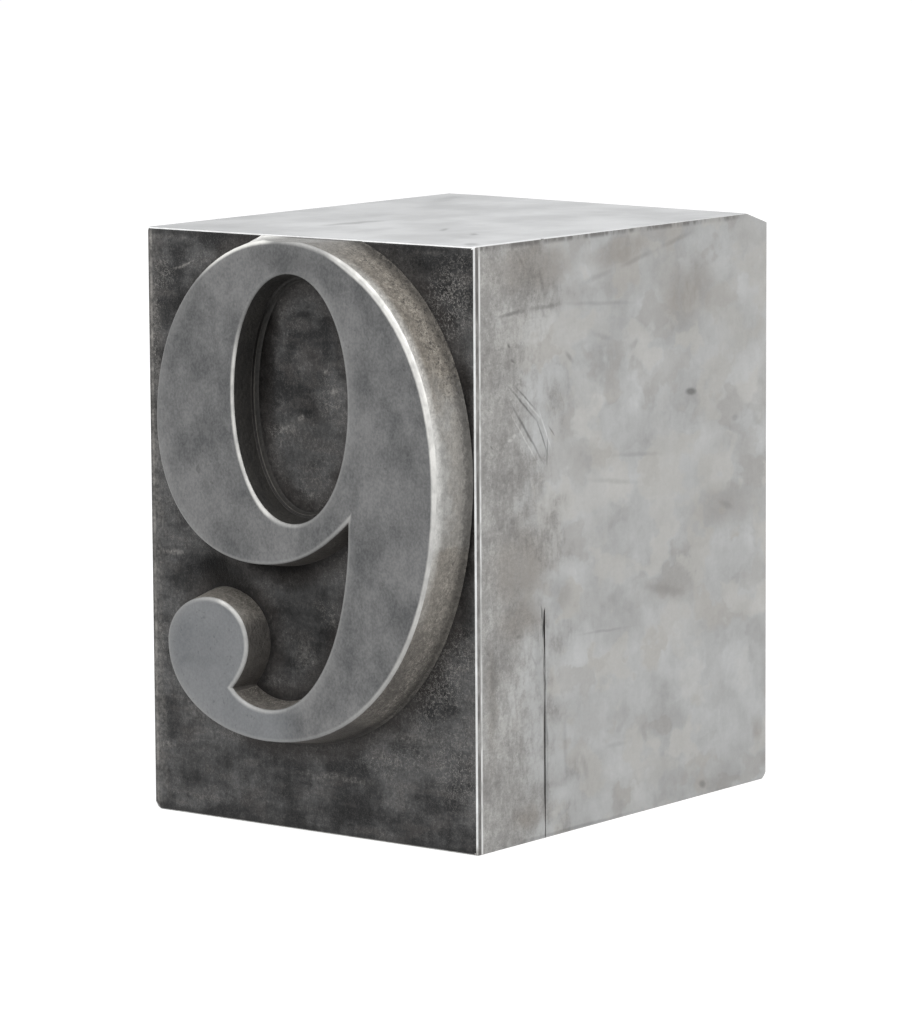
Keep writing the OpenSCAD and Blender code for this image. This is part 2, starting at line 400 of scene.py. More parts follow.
class Outline:
    """Edge of the printing face, beside which rims, flanks and shoulder take their wear and their painted highlights
    and shade.
    """

    name = "outline"
    near_edge = 0.6

    def __init__(self, edge: Sequence[Stretch], counter: Sequence[Stretch], steps: int = 160) -> None:
        """Samples the edge.

        Args:
            edge: Outer edge, clockwise.
            counter: Edge of the closed counter, clockwise.
            steps: Samples along each curve.
        """
        samples: list[tuple[Vector, Vector]] = []
        for stretch, side in [(each, 1) for each in edge] + [(each, -1) for each in counter]:
            knots = (stretch.start, stretch.leaving, stretch.arriving, stretch.end)
            points = interpolate_bezier(*(k.to_3d() for k in knots), steps)
            for first, second in zip(points, points[1:]):
                along = (second - first).normalized()
                samples.append(((first + second) / 2, Vector((-along.y, along.x)) * side))
        self.outwards = [outward for _, outward in samples]
        self.tree = KDTree(len(samples))
        for number, (place, _) in enumerate(samples):
            self.tree.insert(place, number)
        self.tree.balance()

    def beside(self, x: float, z: float) -> Vector:
        """Place beside the nearest edge.

        Args:
            x: Place along the set width.
            z: Place along the body.

        Returns:
            Distance outwards from the edge, and the edge's outward direction along x and z.
        """
        nearest, number, _ = self.tree.find((x, z, 0))
        outward = self.outwards[number]
        offset = Vector((x, z)) - nearest.to_2d()
        across = offset.dot(outward)
        gap = across if offset.length < self.near_edge else math.copysign(offset.length, across)
        return Vector((gap, *outward))

    def write(self, piece: Workpiece) -> None:
        """Keeps each point's place beside the edge on the piece, for the finishes to read."""
        mesh = piece.thing.data
        values = mesh.attributes.new(self.name, "FLOAT_VECTOR", "POINT").data
        for point, value in zip(mesh.vertices, values):
            value.vector = self.beside(point.co.x / MM, point.co.z / MM)


@dataclass
class RaisedFigure:
    """The figure 9 with its drafted flanks and closed counter, shaped as the punch leaves it."""

    block: Block
    left_bearing: float = 2.19
    right_bearing: float = 0.64
    head_bearing: float = 0.08
    beard: float = 4.2
    bowl_height: float = 13.52
    ball_top: float = 5.67
    bowl_stroke: float = 4.03
    stem_stroke: float = 4.39
    head_stroke: float = 1.22
    waist_stroke: float = 1.65
    tail_stroke: float = 1.15
    crotch_rise: float = 2.28
    ball_width: float = 4.2
    ball_inset: float = 0.46
    bowl_fullness: float = 0.58
    tail_fullness: float = 0.6
    ball_fullness: float = 0.57
    notch_reach: float = 0.17
    draft: float = 10.0
    counter_depth: float = 1.3
    head_trim: float = 0.05
    curve_steps: int = 22
    crotch_clear: float = 0.8
    notch_clear: float = 0.3
    # Where the curves turn level or upright, as shares of the figure, the ball, and the counter and bowl
    head_turn: float = 0.46
    stem_turn: float = 0.55
    tail_turn: float = 0.39
    ball_turns: tuple[float, float, float] = (0.47, 0.55, 0.43)
    bowl_turns: Point = (0.19, 0.42)
    # Place of the notch as shares of the ball, and the directions of the curves at crotch and notch
    notch_place: Point = (0.22, 0.2)
    crotch_leaving: Point = (-0.74, -0.67)
    crotch_reach: float = 0.9
    notch_arriving: Point = (0.65, 0.76)
    notch_leaving: Point = (0.62, -0.78)
    # How far beyond its edge the counter's ellipse reaches for the test of what lies in it, squared
    counter_margin: float = 1.12
    # Depths and spreads of the rounded rim, and depths of the rings on the flanks and on the counter's wall
    rim: tuple[Point, ...] = ((0.012, 0.045), (0.045, 0.08), (0.1, 0.1))
    flank_rings: tuple[float, ...] = (0.25, 0.7)
    wall_ring: float = 0.5
    # Ledge on the counter's wall: depths over and under it, and its width
    ledge: tuple[float, float, float] = (1.04, 1.08, 0.09)
    # Fillets at the counter's floor, and at the foot of the flanks from the shoulder's plane
    floor_fillet: Point = (0.06, 0.06)
    foot_fillet: tuple[Point, ...] = ((-0.16, 0.0), (-0.07, 0.03), (0.01, 0.11), (0.4, 0.11))
    # Insets of the printing face, and the cells within them
    land_rings: tuple[float, ...] = (0.06, 0.12, 0.15)
    land_cell: float = 0.45
    land_margin: float = 0.03
    first_cut: float = 0.3
    floor_rings: tuple[float, ...] = (0.12, 0.2, 0.3, 0.35, 0.4)

    def __post_init__(self) -> None:
        """Works out the places at which the strokes turn."""
        left = self.left_bearing - self.block.half_width
        right = self.block.half_width - self.right_bearing
        top, bottom = self.block.body_size - self.head_bearing, self.beard
        width, height = right - left, top - bottom
        bowl_bottom, ball_head = top - self.bowl_height, bottom + self.ball_top
        counter_left, stem_left = left + self.bowl_stroke, right - self.stem_stroke
        ball_left = left + self.ball_inset
        ball_right = ball_left + self.ball_width
        ball_left_drop, ball_head_shift, ball_right_drop = (turn * self.ball_width for turn in self.ball_turns)
        notch_back, notch_rise = (share * self.ball_width for share in self.notch_place)
        self.head = Vector((left + self.head_turn * width, top))
        self.stem = Vector((right, bottom + self.stem_turn * height))
        self.tail = Vector((left + self.tail_turn * width, bottom))
        self.tail_top = self.tail + Vector((0, self.tail_stroke))
        self.ball_left = Vector((ball_left, ball_head - ball_left_drop))
        self.ball_head = Vector((ball_left + ball_head_shift, ball_head))
        self.ball_right = Vector((ball_right, ball_head - ball_right_drop))
        self.bowl_bottom = Vector((counter_left + self.bowl_turns[0] * (stem_left - counter_left), bowl_bottom))
        self.bowl_left = Vector((left, bowl_bottom + self.bowl_turns[1] * self.bowl_height))
        self.crotch = Vector((stem_left, bowl_bottom + self.crotch_rise))
        self.notch = Vector((ball_right - notch_back, self.tail_top.y + notch_rise))
        self.counter_low = Vector((counter_left, bowl_bottom + self.waist_stroke))
        self.counter_high = Vector((stem_left, top - self.head_stroke))
        self.outline = Outline(self.edge(), self.counter())

    def edge(self) -> list[Stretch]:
        """Outer edge of the printing face, clockwise from the crotch."""
        reach = self.notch_reach * self.ball_width
        bowl, tail, ball = self.bowl_fullness, self.tail_fullness, self.ball_fullness
        return [
            Stretch(self.crotch, self.crotch + self.crotch_reach * self.crotch_rise * Vector(self.crotch_leaving),
                    self.bowl_bottom + Vector((self.crotch_rise, 0)), self.bowl_bottom),
            Stretch.quarter(self.bowl_bottom, self.bowl_left, tail, level_first=True),
            Stretch.quarter(self.bowl_left, self.head, bowl, level_first=False),
            Stretch.quarter(self.head, self.stem, bowl, level_first=True),
            Stretch.quarter(self.stem, self.tail, tail, level_first=False),
            Stretch.quarter(self.tail, self.ball_left, ball, level_first=True),
            Stretch.quarter(self.ball_left, self.ball_head, ball, level_first=False),
            Stretch.quarter(self.ball_head, self.ball_right, ball, level_first=True),
            Stretch(self.ball_right, self.ball_right - Vector((0, reach)),
                    self.notch + reach * Vector(self.notch_arriving), self.notch),
            Stretch(self.notch, self.notch + reach * Vector(self.notch_leaving),
                    self.tail_top - Vector((reach, 0)), self.tail_top),
            Stretch.quarter(self.tail_top, self.crotch, tail, level_first=True)]

    def counter(self) -> list[Stretch]:
        """Edge of the closed counter, clockwise from its right."""
        low, high = self.counter_low, self.counter_high
        middle = (low + high) / 2
        right, foot = Vector((high.x, middle.y)), Vector((middle.x, low.y))
        left, head = Vector((low.x, middle.y)), Vector((middle.x, high.y))
        turns = [right, foot, left, head, right]
        return [Stretch.quarter(a, b, self.bowl_fullness, level_first=bool(i % 2))
                for i, (a, b) in enumerate(zip(turns, turns[1:]))]

    def draw(self, name: str, stretches: list[Stretch]) -> Workpiece:
        """Draws a closed outline on the printing face as a curve and makes it a mesh.

        Args:
            name: Name of the outline.
            stretches: Its curves in order.

        Returns:
            The outline as a ring of edges.
        """
        Workpiece.clear()
        bpy.ops.curve.primitive_bezier_curve_add()
        curve = bpy.context.object.data
        spline = curve.splines[0]
        spline.bezier_points.add(len(stretches) - len(spline.bezier_points))
        for point, before, after in zip(spline.bezier_points, stretches[-1:] + stretches[:-1], stretches):
            point.handle_left_type = point.handle_right_type = "FREE"
            for part, place in (("co", after.start), ("handle_right", after.leaving),
                                ("handle_left", before.arriving)):
                setattr(point, part, (place.x * MM, self.block.face_y * MM, place.y * MM))
        spline.use_cyclic_u = True
        spline.resolution_u = curve.resolution_u = self.curve_steps
        bpy.ops.object.convert(target="MESH")
        return Workpiece(name)

    def in_counter(self, place: Vector) -> bool:
        """Whether a place lies within the closed counter's edge."""
        middle, half = (self.counter_low + self.counter_high) / 2, (self.counter_high - self.counter_low) / 2
        return ((place.x - middle.x) / half.x) ** 2 + ((place.z - middle.y) / half.y) ** 2 < self.counter_margin

    def build(self) -> Workpiece:
        """Fills the printing face and draws the flanks and the counter's wall down from it.

        Returns:
            The figure as a closed form that is rooted in the plate.
        """
        figure = self.draw("figure", self.edge())
        figure.join(self.draw("counter", self.counter()))
        figure.edit(Pick.POINTS)
        for corner, clear in ((self.crotch, self.crotch_clear), (self.notch, self.notch_clear)):
            figure.choose(Pick.POINTS, lambda p, _: TOUCHING < (Vector((p.x, p.z)) - corner).length < clear)
            bpy.ops.mesh.dissolve_verts()
        figure.everything()
        bpy.ops.mesh.fill()
        self.face_forwards(figure)
        figure.everything()
        for width in self.land_rings:
            figure.inset(width, even=False)
        self.rule_land(figure)
        rim, floor, relief = self.rim[-1], self.counter_depth, self.block.relief
        self.draw_down(figure, [(0.0, 0.0), *self.rim], lambda _: True)
        above, below, ledge = self.ledge
        drop, run = self.floor_fillet
        self.draw_down(figure, [rim, *map(self.on_flank, (self.wall_ring, above)),
                                (below, self.spread(above) + ledge), (floor - drop, self.spread(floor) + ledge),
                                (floor, self.spread(floor) + ledge + run)], self.in_counter)
        figure.choose(Pick.EDGES, lambda p, e: e.is_boundary and self.in_counter(p))
        bpy.ops.mesh.edge_face_add()
        for width in self.floor_rings:
            figure.inset(width, even=False)
        foot = self.spread(relief + self.foot_fillet[0][0])
        self.draw_down(figure, [rim, *map(self.on_flank, (*self.flank_rings, floor)),
                                *((relief + over, foot + out) for over, out in self.foot_fillet)],
                       lambda p: not self.in_counter(p))
        figure.choose(Pick.EDGES, lambda _, e: e.is_boundary)
        bpy.ops.mesh.fill()
        figure.plane_cut((0, 0, self.block.body_size - self.head_trim), (0, 0, 1), trim=True)
        figure.clear()
        return figure

    def spread(self, depth: float) -> float:
        """How far a flank has spread at a depth under the printing face."""
        rim_depth, rim_spread = self.rim[-1]
        return rim_spread + (depth - rim_depth) * math.tan(math.radians(self.draft))

    def on_flank(self, depth: float) -> Point:
        """Depth and spread of a point on a flank."""
        return depth, self.spread(depth)

    def rule_land(self, figure: Workpiece) -> None:
        """Cuts the inner land into cells, so that its points can carry the distance from the edge."""
        inner = self.land_margin - sum(self.land_rings)
        low = Vector((min(self.bowl_left.x, self.ball_left.x), self.tail.y))
        for axis, start, end in ((0, low.x, self.stem.x), (2, low.y, self.head.y)):
            figure.rule(lambda _, f: all(self.outline.beside(v.co.x / MM, v.co.z / MM).x < inner for v in f.verts),
                        axis, start + self.first_cut, end, self.land_cell)

    @staticmethod
    def face_forwards(figure: Workpiece) -> None:
        """Turns the filled face towards the printing side."""
        mesh = bmesh.from_edit_mesh(figure.thing.data)
        mesh.normal_update()
        if sum(f.normal.y * f.calc_area() for f in mesh.faces) > 0:
            figure.everything()
            bpy.ops.mesh.flip_normals()

    @staticmethod
    def draw_down(figure: Workpiece, profile: list[Point], side: Callable[[Vector], bool]) -> None:
        """Draws the open edges down along a profile, keeping each step an even offset of the outline.

        Args:
            figure: The figure in edit mode.
            profile: Depths under the printing face and spreads from its edge, of which the first is there.
            side: Which of the open edges go down.
        """
        for (depth, spread), (next_depth, next_spread) in zip(profile, profile[1:]):
            figure.choose(Pick.EDGES, lambda p, e: e.is_boundary and side(p))
            figure.pull((0, next_depth - depth, 0))
            figure.fatten(next_spread - spread)


@dataclass
class OpenCounter:
    """Floor of the open counter between bowl and tail, which runs out to the shoulder on its left."""

    block: Block
    depth: float = 1.3
    root: float = 0.3
    ramp_start: float = -6.0
    ramp_end: float = -2.9
    sunk: float = 0.01
    # Size of the cells, and the axis, start and end of the cuts between them
    cell: float = 0.4
    cuts: tuple[tuple[int, float, float], ...] = ((2, 5.0, 15.0), (0, -2.6, 4.4))
    # Lines across the floor: x, and the two heights at which each ends inside the strokes
    stations: tuple[tuple[float, float, float], ...] = (
        (-6.0, 8.0, 14.9), (-5.6, 7.9, 14.4), (-5.2, 7.6, 14.0), (-4.8, 7.4, 13.7), (-4.4, 7.2, 13.5),
        (-4.0, 6.9, 13.3), (-3.6, 6.4, 13.0), (-3.2, 5.6, 12.9), (-2.8, 5.2, 12.8), (-2.0, 4.9, 12.7),
        (-0.8, 4.8, 12.6), (0.5, 4.9, 12.6), (2.0, 5.6, 13.1), (3.2, 7.0, 14.2), (4.4, 8.0, 15.0))

    def height(self, x: float) -> float:
        """Height over the shoulder, which rises softly along the ramp."""
        share = min(1.0, max(0.0, (x - self.ramp_start) / (self.ramp_end - self.ramp_start)))
        return (self.block.relief - self.depth) * share * share * (3 - 2 * share) - self.sunk

    def build(self) -> Workpiece:
        """Extrudes a line from station to station and gives the floor its thickness.

        Returns:
            The floor as a closed form.
        """
        x, low, high = self.stations[0]
        Workpiece.clear()
        bpy.ops.mesh.primitive_plane_add(size=MM, rotation=(math.pi / 2, 0, 0))
        floor = Workpiece("open_counter")
        floor.edit(Pick.POINTS)
        floor.choose(Pick.POINTS, lambda p, _: p.x > 0)
        bpy.ops.mesh.delete(type="VERT")
        half = 0.5
        for top, z, start in ((False, low, -half), (True, high, half)):
            floor.choose(Pick.POINTS, lambda p, _: p.x > -1 and (p.z > 0) == top)
            floor.move((x + half, self.block.shoulder_y - self.height(x), z - start))
        for (before, low_0, high_0), (x, low, high) in zip(self.stations, self.stations[1:]):
            floor.choose(Pick.EDGES, lambda p, e: abs(p.x - before) < NEAR
                         and abs(e.verts[0].co.x - e.verts[1].co.x) < NEAR * MM)
            floor.pull((x - before, self.height(before) - self.height(x), 0))
            for top, shift in ((False, low - low_0), (True, high - high_0)):
                floor.choose(Pick.POINTS, lambda p, _: abs(p.x - x) < NEAR and (p.z > (low_0 + high_0) / 2) == top)
                floor.move((0, 0, shift))
        floor.face_out()
        RaisedFigure.face_forwards(floor)
        for axis, start, end in self.cuts:
            floor.rule(lambda _p, _f: True, axis, start, end, self.cell)
        floor.modify("SOLIDIFY", thickness=self.root * MM, offset=-1)
        return floor


def side_finish(normal: Vector) -> Finish:
    """Finish of a flat outer face by the way it looks, or the edge finish between two.

    Args:
        normal: Direction of the face.

    Returns:
        The finish.
    """
    flat = 0.94
    for along, finish in ((normal.x, Finish.RIGHT), (-normal.x, Finish.LEFT), (normal.z, Finish.HEAD),
                          (-normal.z, Finish.LOWER), (normal.y, Finish.FOOT)):
        if along > flat:
            return finish
    return Finish.EDGE


@dataclass
class Piece:
    """A piece of the block, which stands for one node of the model."""

    node: ClassVar[str]
    slot: ClassVar[str]
    block: Block

    def shape(self) -> Workpiece:
        """Shapes the piece."""
        raise NotImplementedError

    def finish_of(self, _middle: Vector, normal: Vector) -> Finish:
        """Finish of a face by the way it looks."""
        return side_finish(normal)

    def build(self, finishes: dict[Finish, bpy.types.Material]) -> bpy.types.Object:
        """Shapes the piece, dresses it and hands it over.

        Args:
            finishes: Material of each finish.

        Returns:
            The finished piece.
        """
        piece = self.shape()
        piece.dress(finishes, self.finish_of)
        return piece.deliver(self.node, self.slot)


@dataclass
class CastFace(Piece):
    """The cast plate that carries the figure: shoulder, raised figure and counters in one piece."""

    node = "figure_plate"
    slot = "face_metal"
    shoulder_bevel: float = 0.13
    right_bevel: float = 0.17
    left_bevel: float = 0.1
    side_bevel: float = 0.06
    worn_corner: float = 0.3
    cells: tuple[int, int] = (50, 72)
    # How far in line the faces at an edge are that isn't worn, and how a floor is known from a wall
    blunt: float = 0.6
    floor_look: float = 0.72
    floor_from: float = 1.05
    floor_to: float = 0.012

    def __post_init__(self) -> None:
        """Lays out the figure."""
        self.figure = RaisedFigure(self.block)

    def slab(self) -> Workpiece:
        """Shapes the plate behind the shoulder, with worn edges and one knocked corner.

        Returns:
            The plate as a closed form.
        """
        b = self.block
        Workpiece.clear()
        bpy.ops.mesh.primitive_grid_add(x_subdivisions=self.cells[0], y_subdivisions=self.cells[1], size=MM,
                                        location=(0, b.shoulder_y * MM, 0), rotation=(math.pi / 2, 0, 0))
        plate = Workpiece("cast_face")
        plate.edit()
        plate.everything()
        bpy.ops.transform.resize(value=(b.set_width, 1, b.body_size), center_override=(0, 0, 0))
        plate.move((0, 0, b.body_size / 2))
        plate.pull((0, b.plate_thickness, 0))
        plate.face_out()
        plate.bevel(self.edge_width)
        plate.edit()
        plate.knock((-b.half_width, b.shoulder_y, 0), (-1, -1, -1), self.worn_corner)
        plate.clear()
        return plate

    def edge_width(self, middle: Vector, edge: object) -> float:
        """Width of the rounding on an edge.

        Args:
            middle: Its middle in millimetres.
            edge: The edge.

        Returns:
            The width in millimetres, or 0 inside a face and at the joint.
        """
        b = self.block
        if middle.y > b.plate_back_y - NEAR or len(edge.link_faces) != 2:
            return 0.0
        first, second = (f.normal for f in edge.link_faces)
        if first.dot(second) > self.blunt:
            return 0.0
        if middle.y > b.shoulder_y + NEAR:
            return self.side_bevel
        if abs(middle.x) > b.half_width - NEAR:
            return self.right_bevel if middle.x > 0 else self.left_bevel
        return self.shoulder_bevel

    def finish_of(self, middle: Vector, normal: Vector) -> Finish:
        """Finish of a face by its place.

        Args:
            middle: Its middle in millimetres.
            normal: Its direction.

        Returns:
            The finish.
        """
        b = self.block
        depth = middle.y - b.face_y
        if depth < self.figure.rim[-1][0]:
            return Finish.LAND
        if self.floor_from < depth < b.relief + self.floor_to and normal.y < -self.floor_look:
            return Finish.CAST
        if depth < b.relief - TOUCHING:
            return Finish.WALL if self.figure.in_counter(middle) else Finish.FLANK
        return side_finish(normal)

    def shape(self) -> Workpiece:
        """Joins plate, figure and open counter.

        Returns:
            The plate with the figure's edge written on it.
        """
        plate = self.slab()
        plate.join(self.figure.build(), OpenCounter(self.block).build())
        plate.smooth(flat_area=0.6, level=0.9999)
        self.figure.outline.write(plate)
        return plate


@dataclass
class BodyBlock(Piece):
    """The metal body behind the plate, bevelled at the foot and bored for the anchors."""

    node = "mount_body"
    slot = "body_metal"
    foot_bevel_length: float = 1.75
    foot_bevel_drop: float = 0.55
    foot_edge_bevel: float = 0.2
    side_bevel: float = 0.06
    worn_corner: float = 0.32
    bevel_softness: float = 0.25
    anchor_pitch: float = 11.0
    bore: float = 4.86
    mouth: float = 7.5
    bore_sides: int = 48
    # Area of the faces that the bores open, and how far an edge of a ring may lie off its circle
    broad: float = 50.0
    ring_slack: float = 0.05
    # How far beyond the mouths the faces of the bores are looked for, and how far inside the outer sides
    bore_slack: float = 0.1
    inside: float = 1.0

    def shell(self) -> Workpiece:
        """Shapes the block with its rounded edges, worn corner and the bevel that runs out to the left.

        Returns:
            The block without its bores.
        """
        b = self.block
        body = Workpiece.block("body_block", (-b.half_width, b.body_front_y, 0),
                               (b.half_width, b.foot_y, b.body_size))
        body.bevel(lambda p, _: 0.0 if p.y < b.body_front_y + NEAR else self.foot_edge_bevel
                   if p.y > b.foot_y - NEAR else self.side_bevel)
        left = Vector((-b.half_width, b.foot_y, b.body_size))
        right = Vector((b.half_width, b.foot_y - self.foot_bevel_length, b.body_size))
        over = (right - left).cross(Vector((0, self.foot_bevel_length, -self.foot_bevel_drop)))
        body.edit()
        body.knock((b.half_width, b.foot_y, 0), (1, 1, -1), self.worn_corner)
        body.plane_cut(left, over, trim=True)
        body.clear()
        over.normalize()
        body.bevel(lambda p, e: self.bevel_softness if abs((p - left).dot(over)) < TOUCHING
                   and p.z > b.body_size - TOUCHING and e.calc_length() > MM else 0.0)
        return body

    def bore_anchors(self, body: Workpiece) -> None:
        """Opens the foot and the front, and draws the countersunk bores between them.

        Args:
            body: The shell.
        """
        b = self.block
        middles = [b.body_size / 2 + side * self.anchor_pitch / 2 for side in (-1, 1)]
        flare = (self.mouth - self.bore) / 2
        body.edit()
        for plane, radius in ((b.foot_y, self.mouth / 2), (b.body_front_y, self.bore / 2)):
            body.choose(Pick.FACES, lambda p, f: abs(p.y - plane) < TOUCHING and f.calc_area() > self.broad * MM * MM)
            bpy.ops.mesh.delete(type="ONLY_FACE")
            for z in middles:
                bpy.ops.mesh.primitive_circle_add(vertices=self.bore_sides, radius=radius * MM,
                                                  location=(0, plane * MM, z * MM), rotation=(math.pi / 2, 0, 0))
            body.choose(Pick.EDGES, lambda p, e: abs(p.y - plane) < TOUCHING and (e.is_wire or e.is_boundary))
            bpy.ops.mesh.fill()
        for z in middles:
            def on_ring(p: Vector, e: object, plane: float, radius: float) -> bool:
                """Whether an edge lies on a bore's ring."""
                return (e.is_boundary and abs(p.y - plane) < TOUCHING
                        and abs(math.hypot(p.x, p.z - z) - radius) < self.ring_slack)
            body.choose(Pick.EDGES, lambda p, e: on_ring(p, e, b.foot_y, self.mouth / 2))
            body.pull((0, -flare, 0))
            body.widen(self.bore / self.mouth, z)
            body.choose(Pick.EDGES, lambda p, e: on_ring(p, e, b.foot_y - flare, self.bore / 2)
                        or on_ring(p, e, b.body_front_y, self.bore / 2))
            bpy.ops.mesh.bridge_edge_loops()
        body.face_out()
        body.clear()

    def finish_of(self, middle: Vector, normal: Vector) -> Finish:
        """Finish of a face by its place.

        Args:
            middle: Its middle in millimetres.
            normal: Its direction.

        Returns:
            The finish.
        """
        in_bore = (abs(middle.x) < self.mouth / 2 + self.bore_slack
                   and self.inside < middle.z < self.block.body_size - self.inside and normal.y < SQUARE)
        return Finish.JOINT if in_bore or normal.y < -SQUARE else side_finish(normal)

    def shape(self) -> Workpiece:
        """Shapes and bores the body.

        Returns:
            The body.
        """
        body = self.shell()
        self.bore_anchors(body)
        body.smooth(flat_area=0.6, level=0.999)
        return body


@dataclass
class SolderSeam(Piece):
    """The solder between plate and body, dressed flush but for a crack low on the right side."""

    node = "solder_film"
    slot = "solder"
    crack_end: float = 9.85
    # Heights along the crack, and how far the solder lies back at each
    crack: tuple[Point, ...] = (
        (0.0, 0.03), (0.5, 0.02), (1.2, 0.04), (1.9, 0.06), (2.7, 0.05), (3.4, 0.06), (4.3, 0.06), (5.2, 0.05),
        (6.0, 0.03), (6.9, 0.02), (7.6, 0.03), (8.4, 0.06), (9.0, 0.1), (9.6, 0.05))

    def shape(self) -> Workpiece:
        """Cuts the film into steps and draws them in along the crack.

        Returns:
            The solder.
        """
        b = self.block
        seam = Workpiece.block("solder_seam", (-b.half_width, b.plate_back_y, 0),
                               (b.half_width, b.body_front_y, b.body_size))
        seam.edit()
        for level in (*(level for level, _ in self.crack[1:]), self.crack_end):
            seam.plane_cut((0, 0, level), (0, 0, 1))
        for level, depth in self.crack:
            seam.choose(Pick.POINTS, lambda p, _: p.x > 0 and abs(p.z - level) < NEAR)
            seam.move((-depth, 0, 0))
        seam.clear()
        seam.smooth(flat_area=0.0)
        return seam

    def finish_of(self, _middle: Vector, normal: Vector) -> Finish:
        """Finish of a face by the way it looks, with the crack's steps as the side.

        Args:
            normal: Direction of the face.

        Returns:
            The finish.
        """
        if abs(normal.y) > SQUARE:
            return Finish.JOINT
        return Finish.RIGHT if normal.x > 0.5 else side_finish(normal)


@dataclass
class AnchorEnds(Piece):
    """The cast anchors, whose ends have shrunk a little below the foot."""

    node = "anchor_plugs"
    slot = "anchor_metal"
    pitch: float = 11.0
    shank: float = 4.76
    head: float = 7.4
    recess: float = 0.4
    sides: int = 48
    rounding: float = 0.08
    # Rings of the dimple: how far each lies within the last, how much higher, and how far it is off centre
    dimple: tuple[tuple[float, float, float], ...] = (
        (0.08, 0.08, 0.0), (0.5, 0.0, 0.03), (0.7, -0.05, 0.08), (0.7, -0.13, 0.1), (0.5, -0.12, 0.06))

    def shape(self) -> Workpiece:
        """Shapes both anchors.

        Returns:
            The anchors as one piece.
        """
        first, second = (self.anchor(side) for side in (-1, 1))
        first.join(second)
        first.smooth(flat_area=20.0, degrees=28.0)
        return first

    def finish_of(self, _middle: Vector, _normal: Vector) -> Finish:
        """Every face is cast metal."""
        return Finish.ANCHOR

    def anchor(self, side: int) -> Workpiece:
        """Draws one anchor up from the plate and sinks a dimple in its end.

        Args:
            side: -1 for the lower anchor and 1 for the upper one.

        Returns:
            The anchor.
        """
        b = self.block
        z = b.body_size / 2 + side * self.pitch / 2
        flare = (self.head - self.shank) / 2
        cone = flare - self.recess - self.rounding
        Workpiece.clear()
        bpy.ops.mesh.primitive_circle_add(vertices=self.sides, radius=self.shank / 2 * MM, fill_type="NGON",
                                          location=(0, b.plate_back_y * MM, z * MM), rotation=(-math.pi / 2, 0, 0))
        piece = Workpiece("anchor_ends")
        piece.edit()
        piece.everything()
        piece.pull((0, b.foot_y - flare - b.plate_back_y, 0))
        piece.pull((0, cone, 0))
        piece.widen(1 + 2 * cone / self.shank, z)
        for width, rise, shift in self.dimple:
            piece.inset(width)
            piece.move((side * shift, rise, shift))
        piece.face_out()
        piece.clear()
        return piece


class Wire:
    """A shader value, to which Python's operators add Math nodes."""

    def __init__(self, bench: "Bench", socket: bpy.types.NodeSocket) -> None:
        """Wraps an output socket of the bench's tree."""
        self.bench = bench
        self.socket = socket

    def __add__(self, other: "Value") -> "Wire":
        """Sum."""
        return self.bench.math("ADD", self, other)

    __radd__ = __add__

    def __sub__(self, other: "Value") -> "Wire":
        """Difference."""
        return self.bench.math("SUBTRACT", self, other)

    def __rsub__(self, other: "Value") -> "Wire":
        """Difference from a number."""
        return self.bench.math("SUBTRACT", other, self)

    def __mul__(self, other: "Value") -> "Wire":
        """Product."""
        return self.bench.math("MULTIPLY", self, other)

    __rmul__ = __mul__

    def __or__(self, other: "Value") -> "Wire":
        """Greater of two masks."""
        return self.bench.math("MAXIMUM", self, other)

    __ror__ = __or__

    def step(self, low: float, high: float, top: float = 1.0) -> "Wire":
        """Smooth step.

        Args:
            low: Value at which the result is 0.
            high: Value at which the result is top.
            top: Greatest result.

        Returns:
            The step.
        """
        return self.bench.node("ShaderNodeMapRange", {0: self, 1: low, 2: high, 3: 0.0, 4: top},
                               interpolation_type="SMOOTHSTEP")


Value = Union[Wire, float]
Tint = Union[Wire, Colour]


class Face(enum.Enum):
    """The faces on which marks are placed: axes along, across and square to each, and the turn's sign."""

    SIDE = (1, 2, 0, 1)
    FRONT = (0, 2, 1, -1)
    TOP = (0, 1, 2, 1)


@dataclass(frozen=True)
class Mark:
    """A stain or scratch on a face: an ellipse in that face's millimetres."""

    middle: Point
    reach: Point
    strength: float = 1.0
    turn: float = 0.0
    softness: float = 0.8


def scratch(start: Point, end: Point, width: float, strength: float = 1.0) -> Mark:
    """Long thin mark between two points, which runs out a little beyond them.

    Args:
        start: One end.
        end: The other end.
        width: Half its width.
        strength: How strongly it shows.

    Returns:
        The mark.
    """
    along = Vector(end) - Vector(start)
    middle = (Vector(start) + Vector(end)) / 2
    return Mark((middle.x, middle.y), (along.length / 2 * 1.1, width), strength,
                math.degrees(math.atan2(along.y, along.x)), softness=0.9)


def shade(*display: float) -> Colour:
    """Colour of a surface.

    Args:
        display: Red, green and blue as a screen shows them, from 0 to 255.

    Returns:
        Linear red, green and blue, and 1.
    """
    red, green, blue = (((value / 255 + 0.055) / 1.055) ** 2.4 for value in display)
    return red, green, blue, 1.0


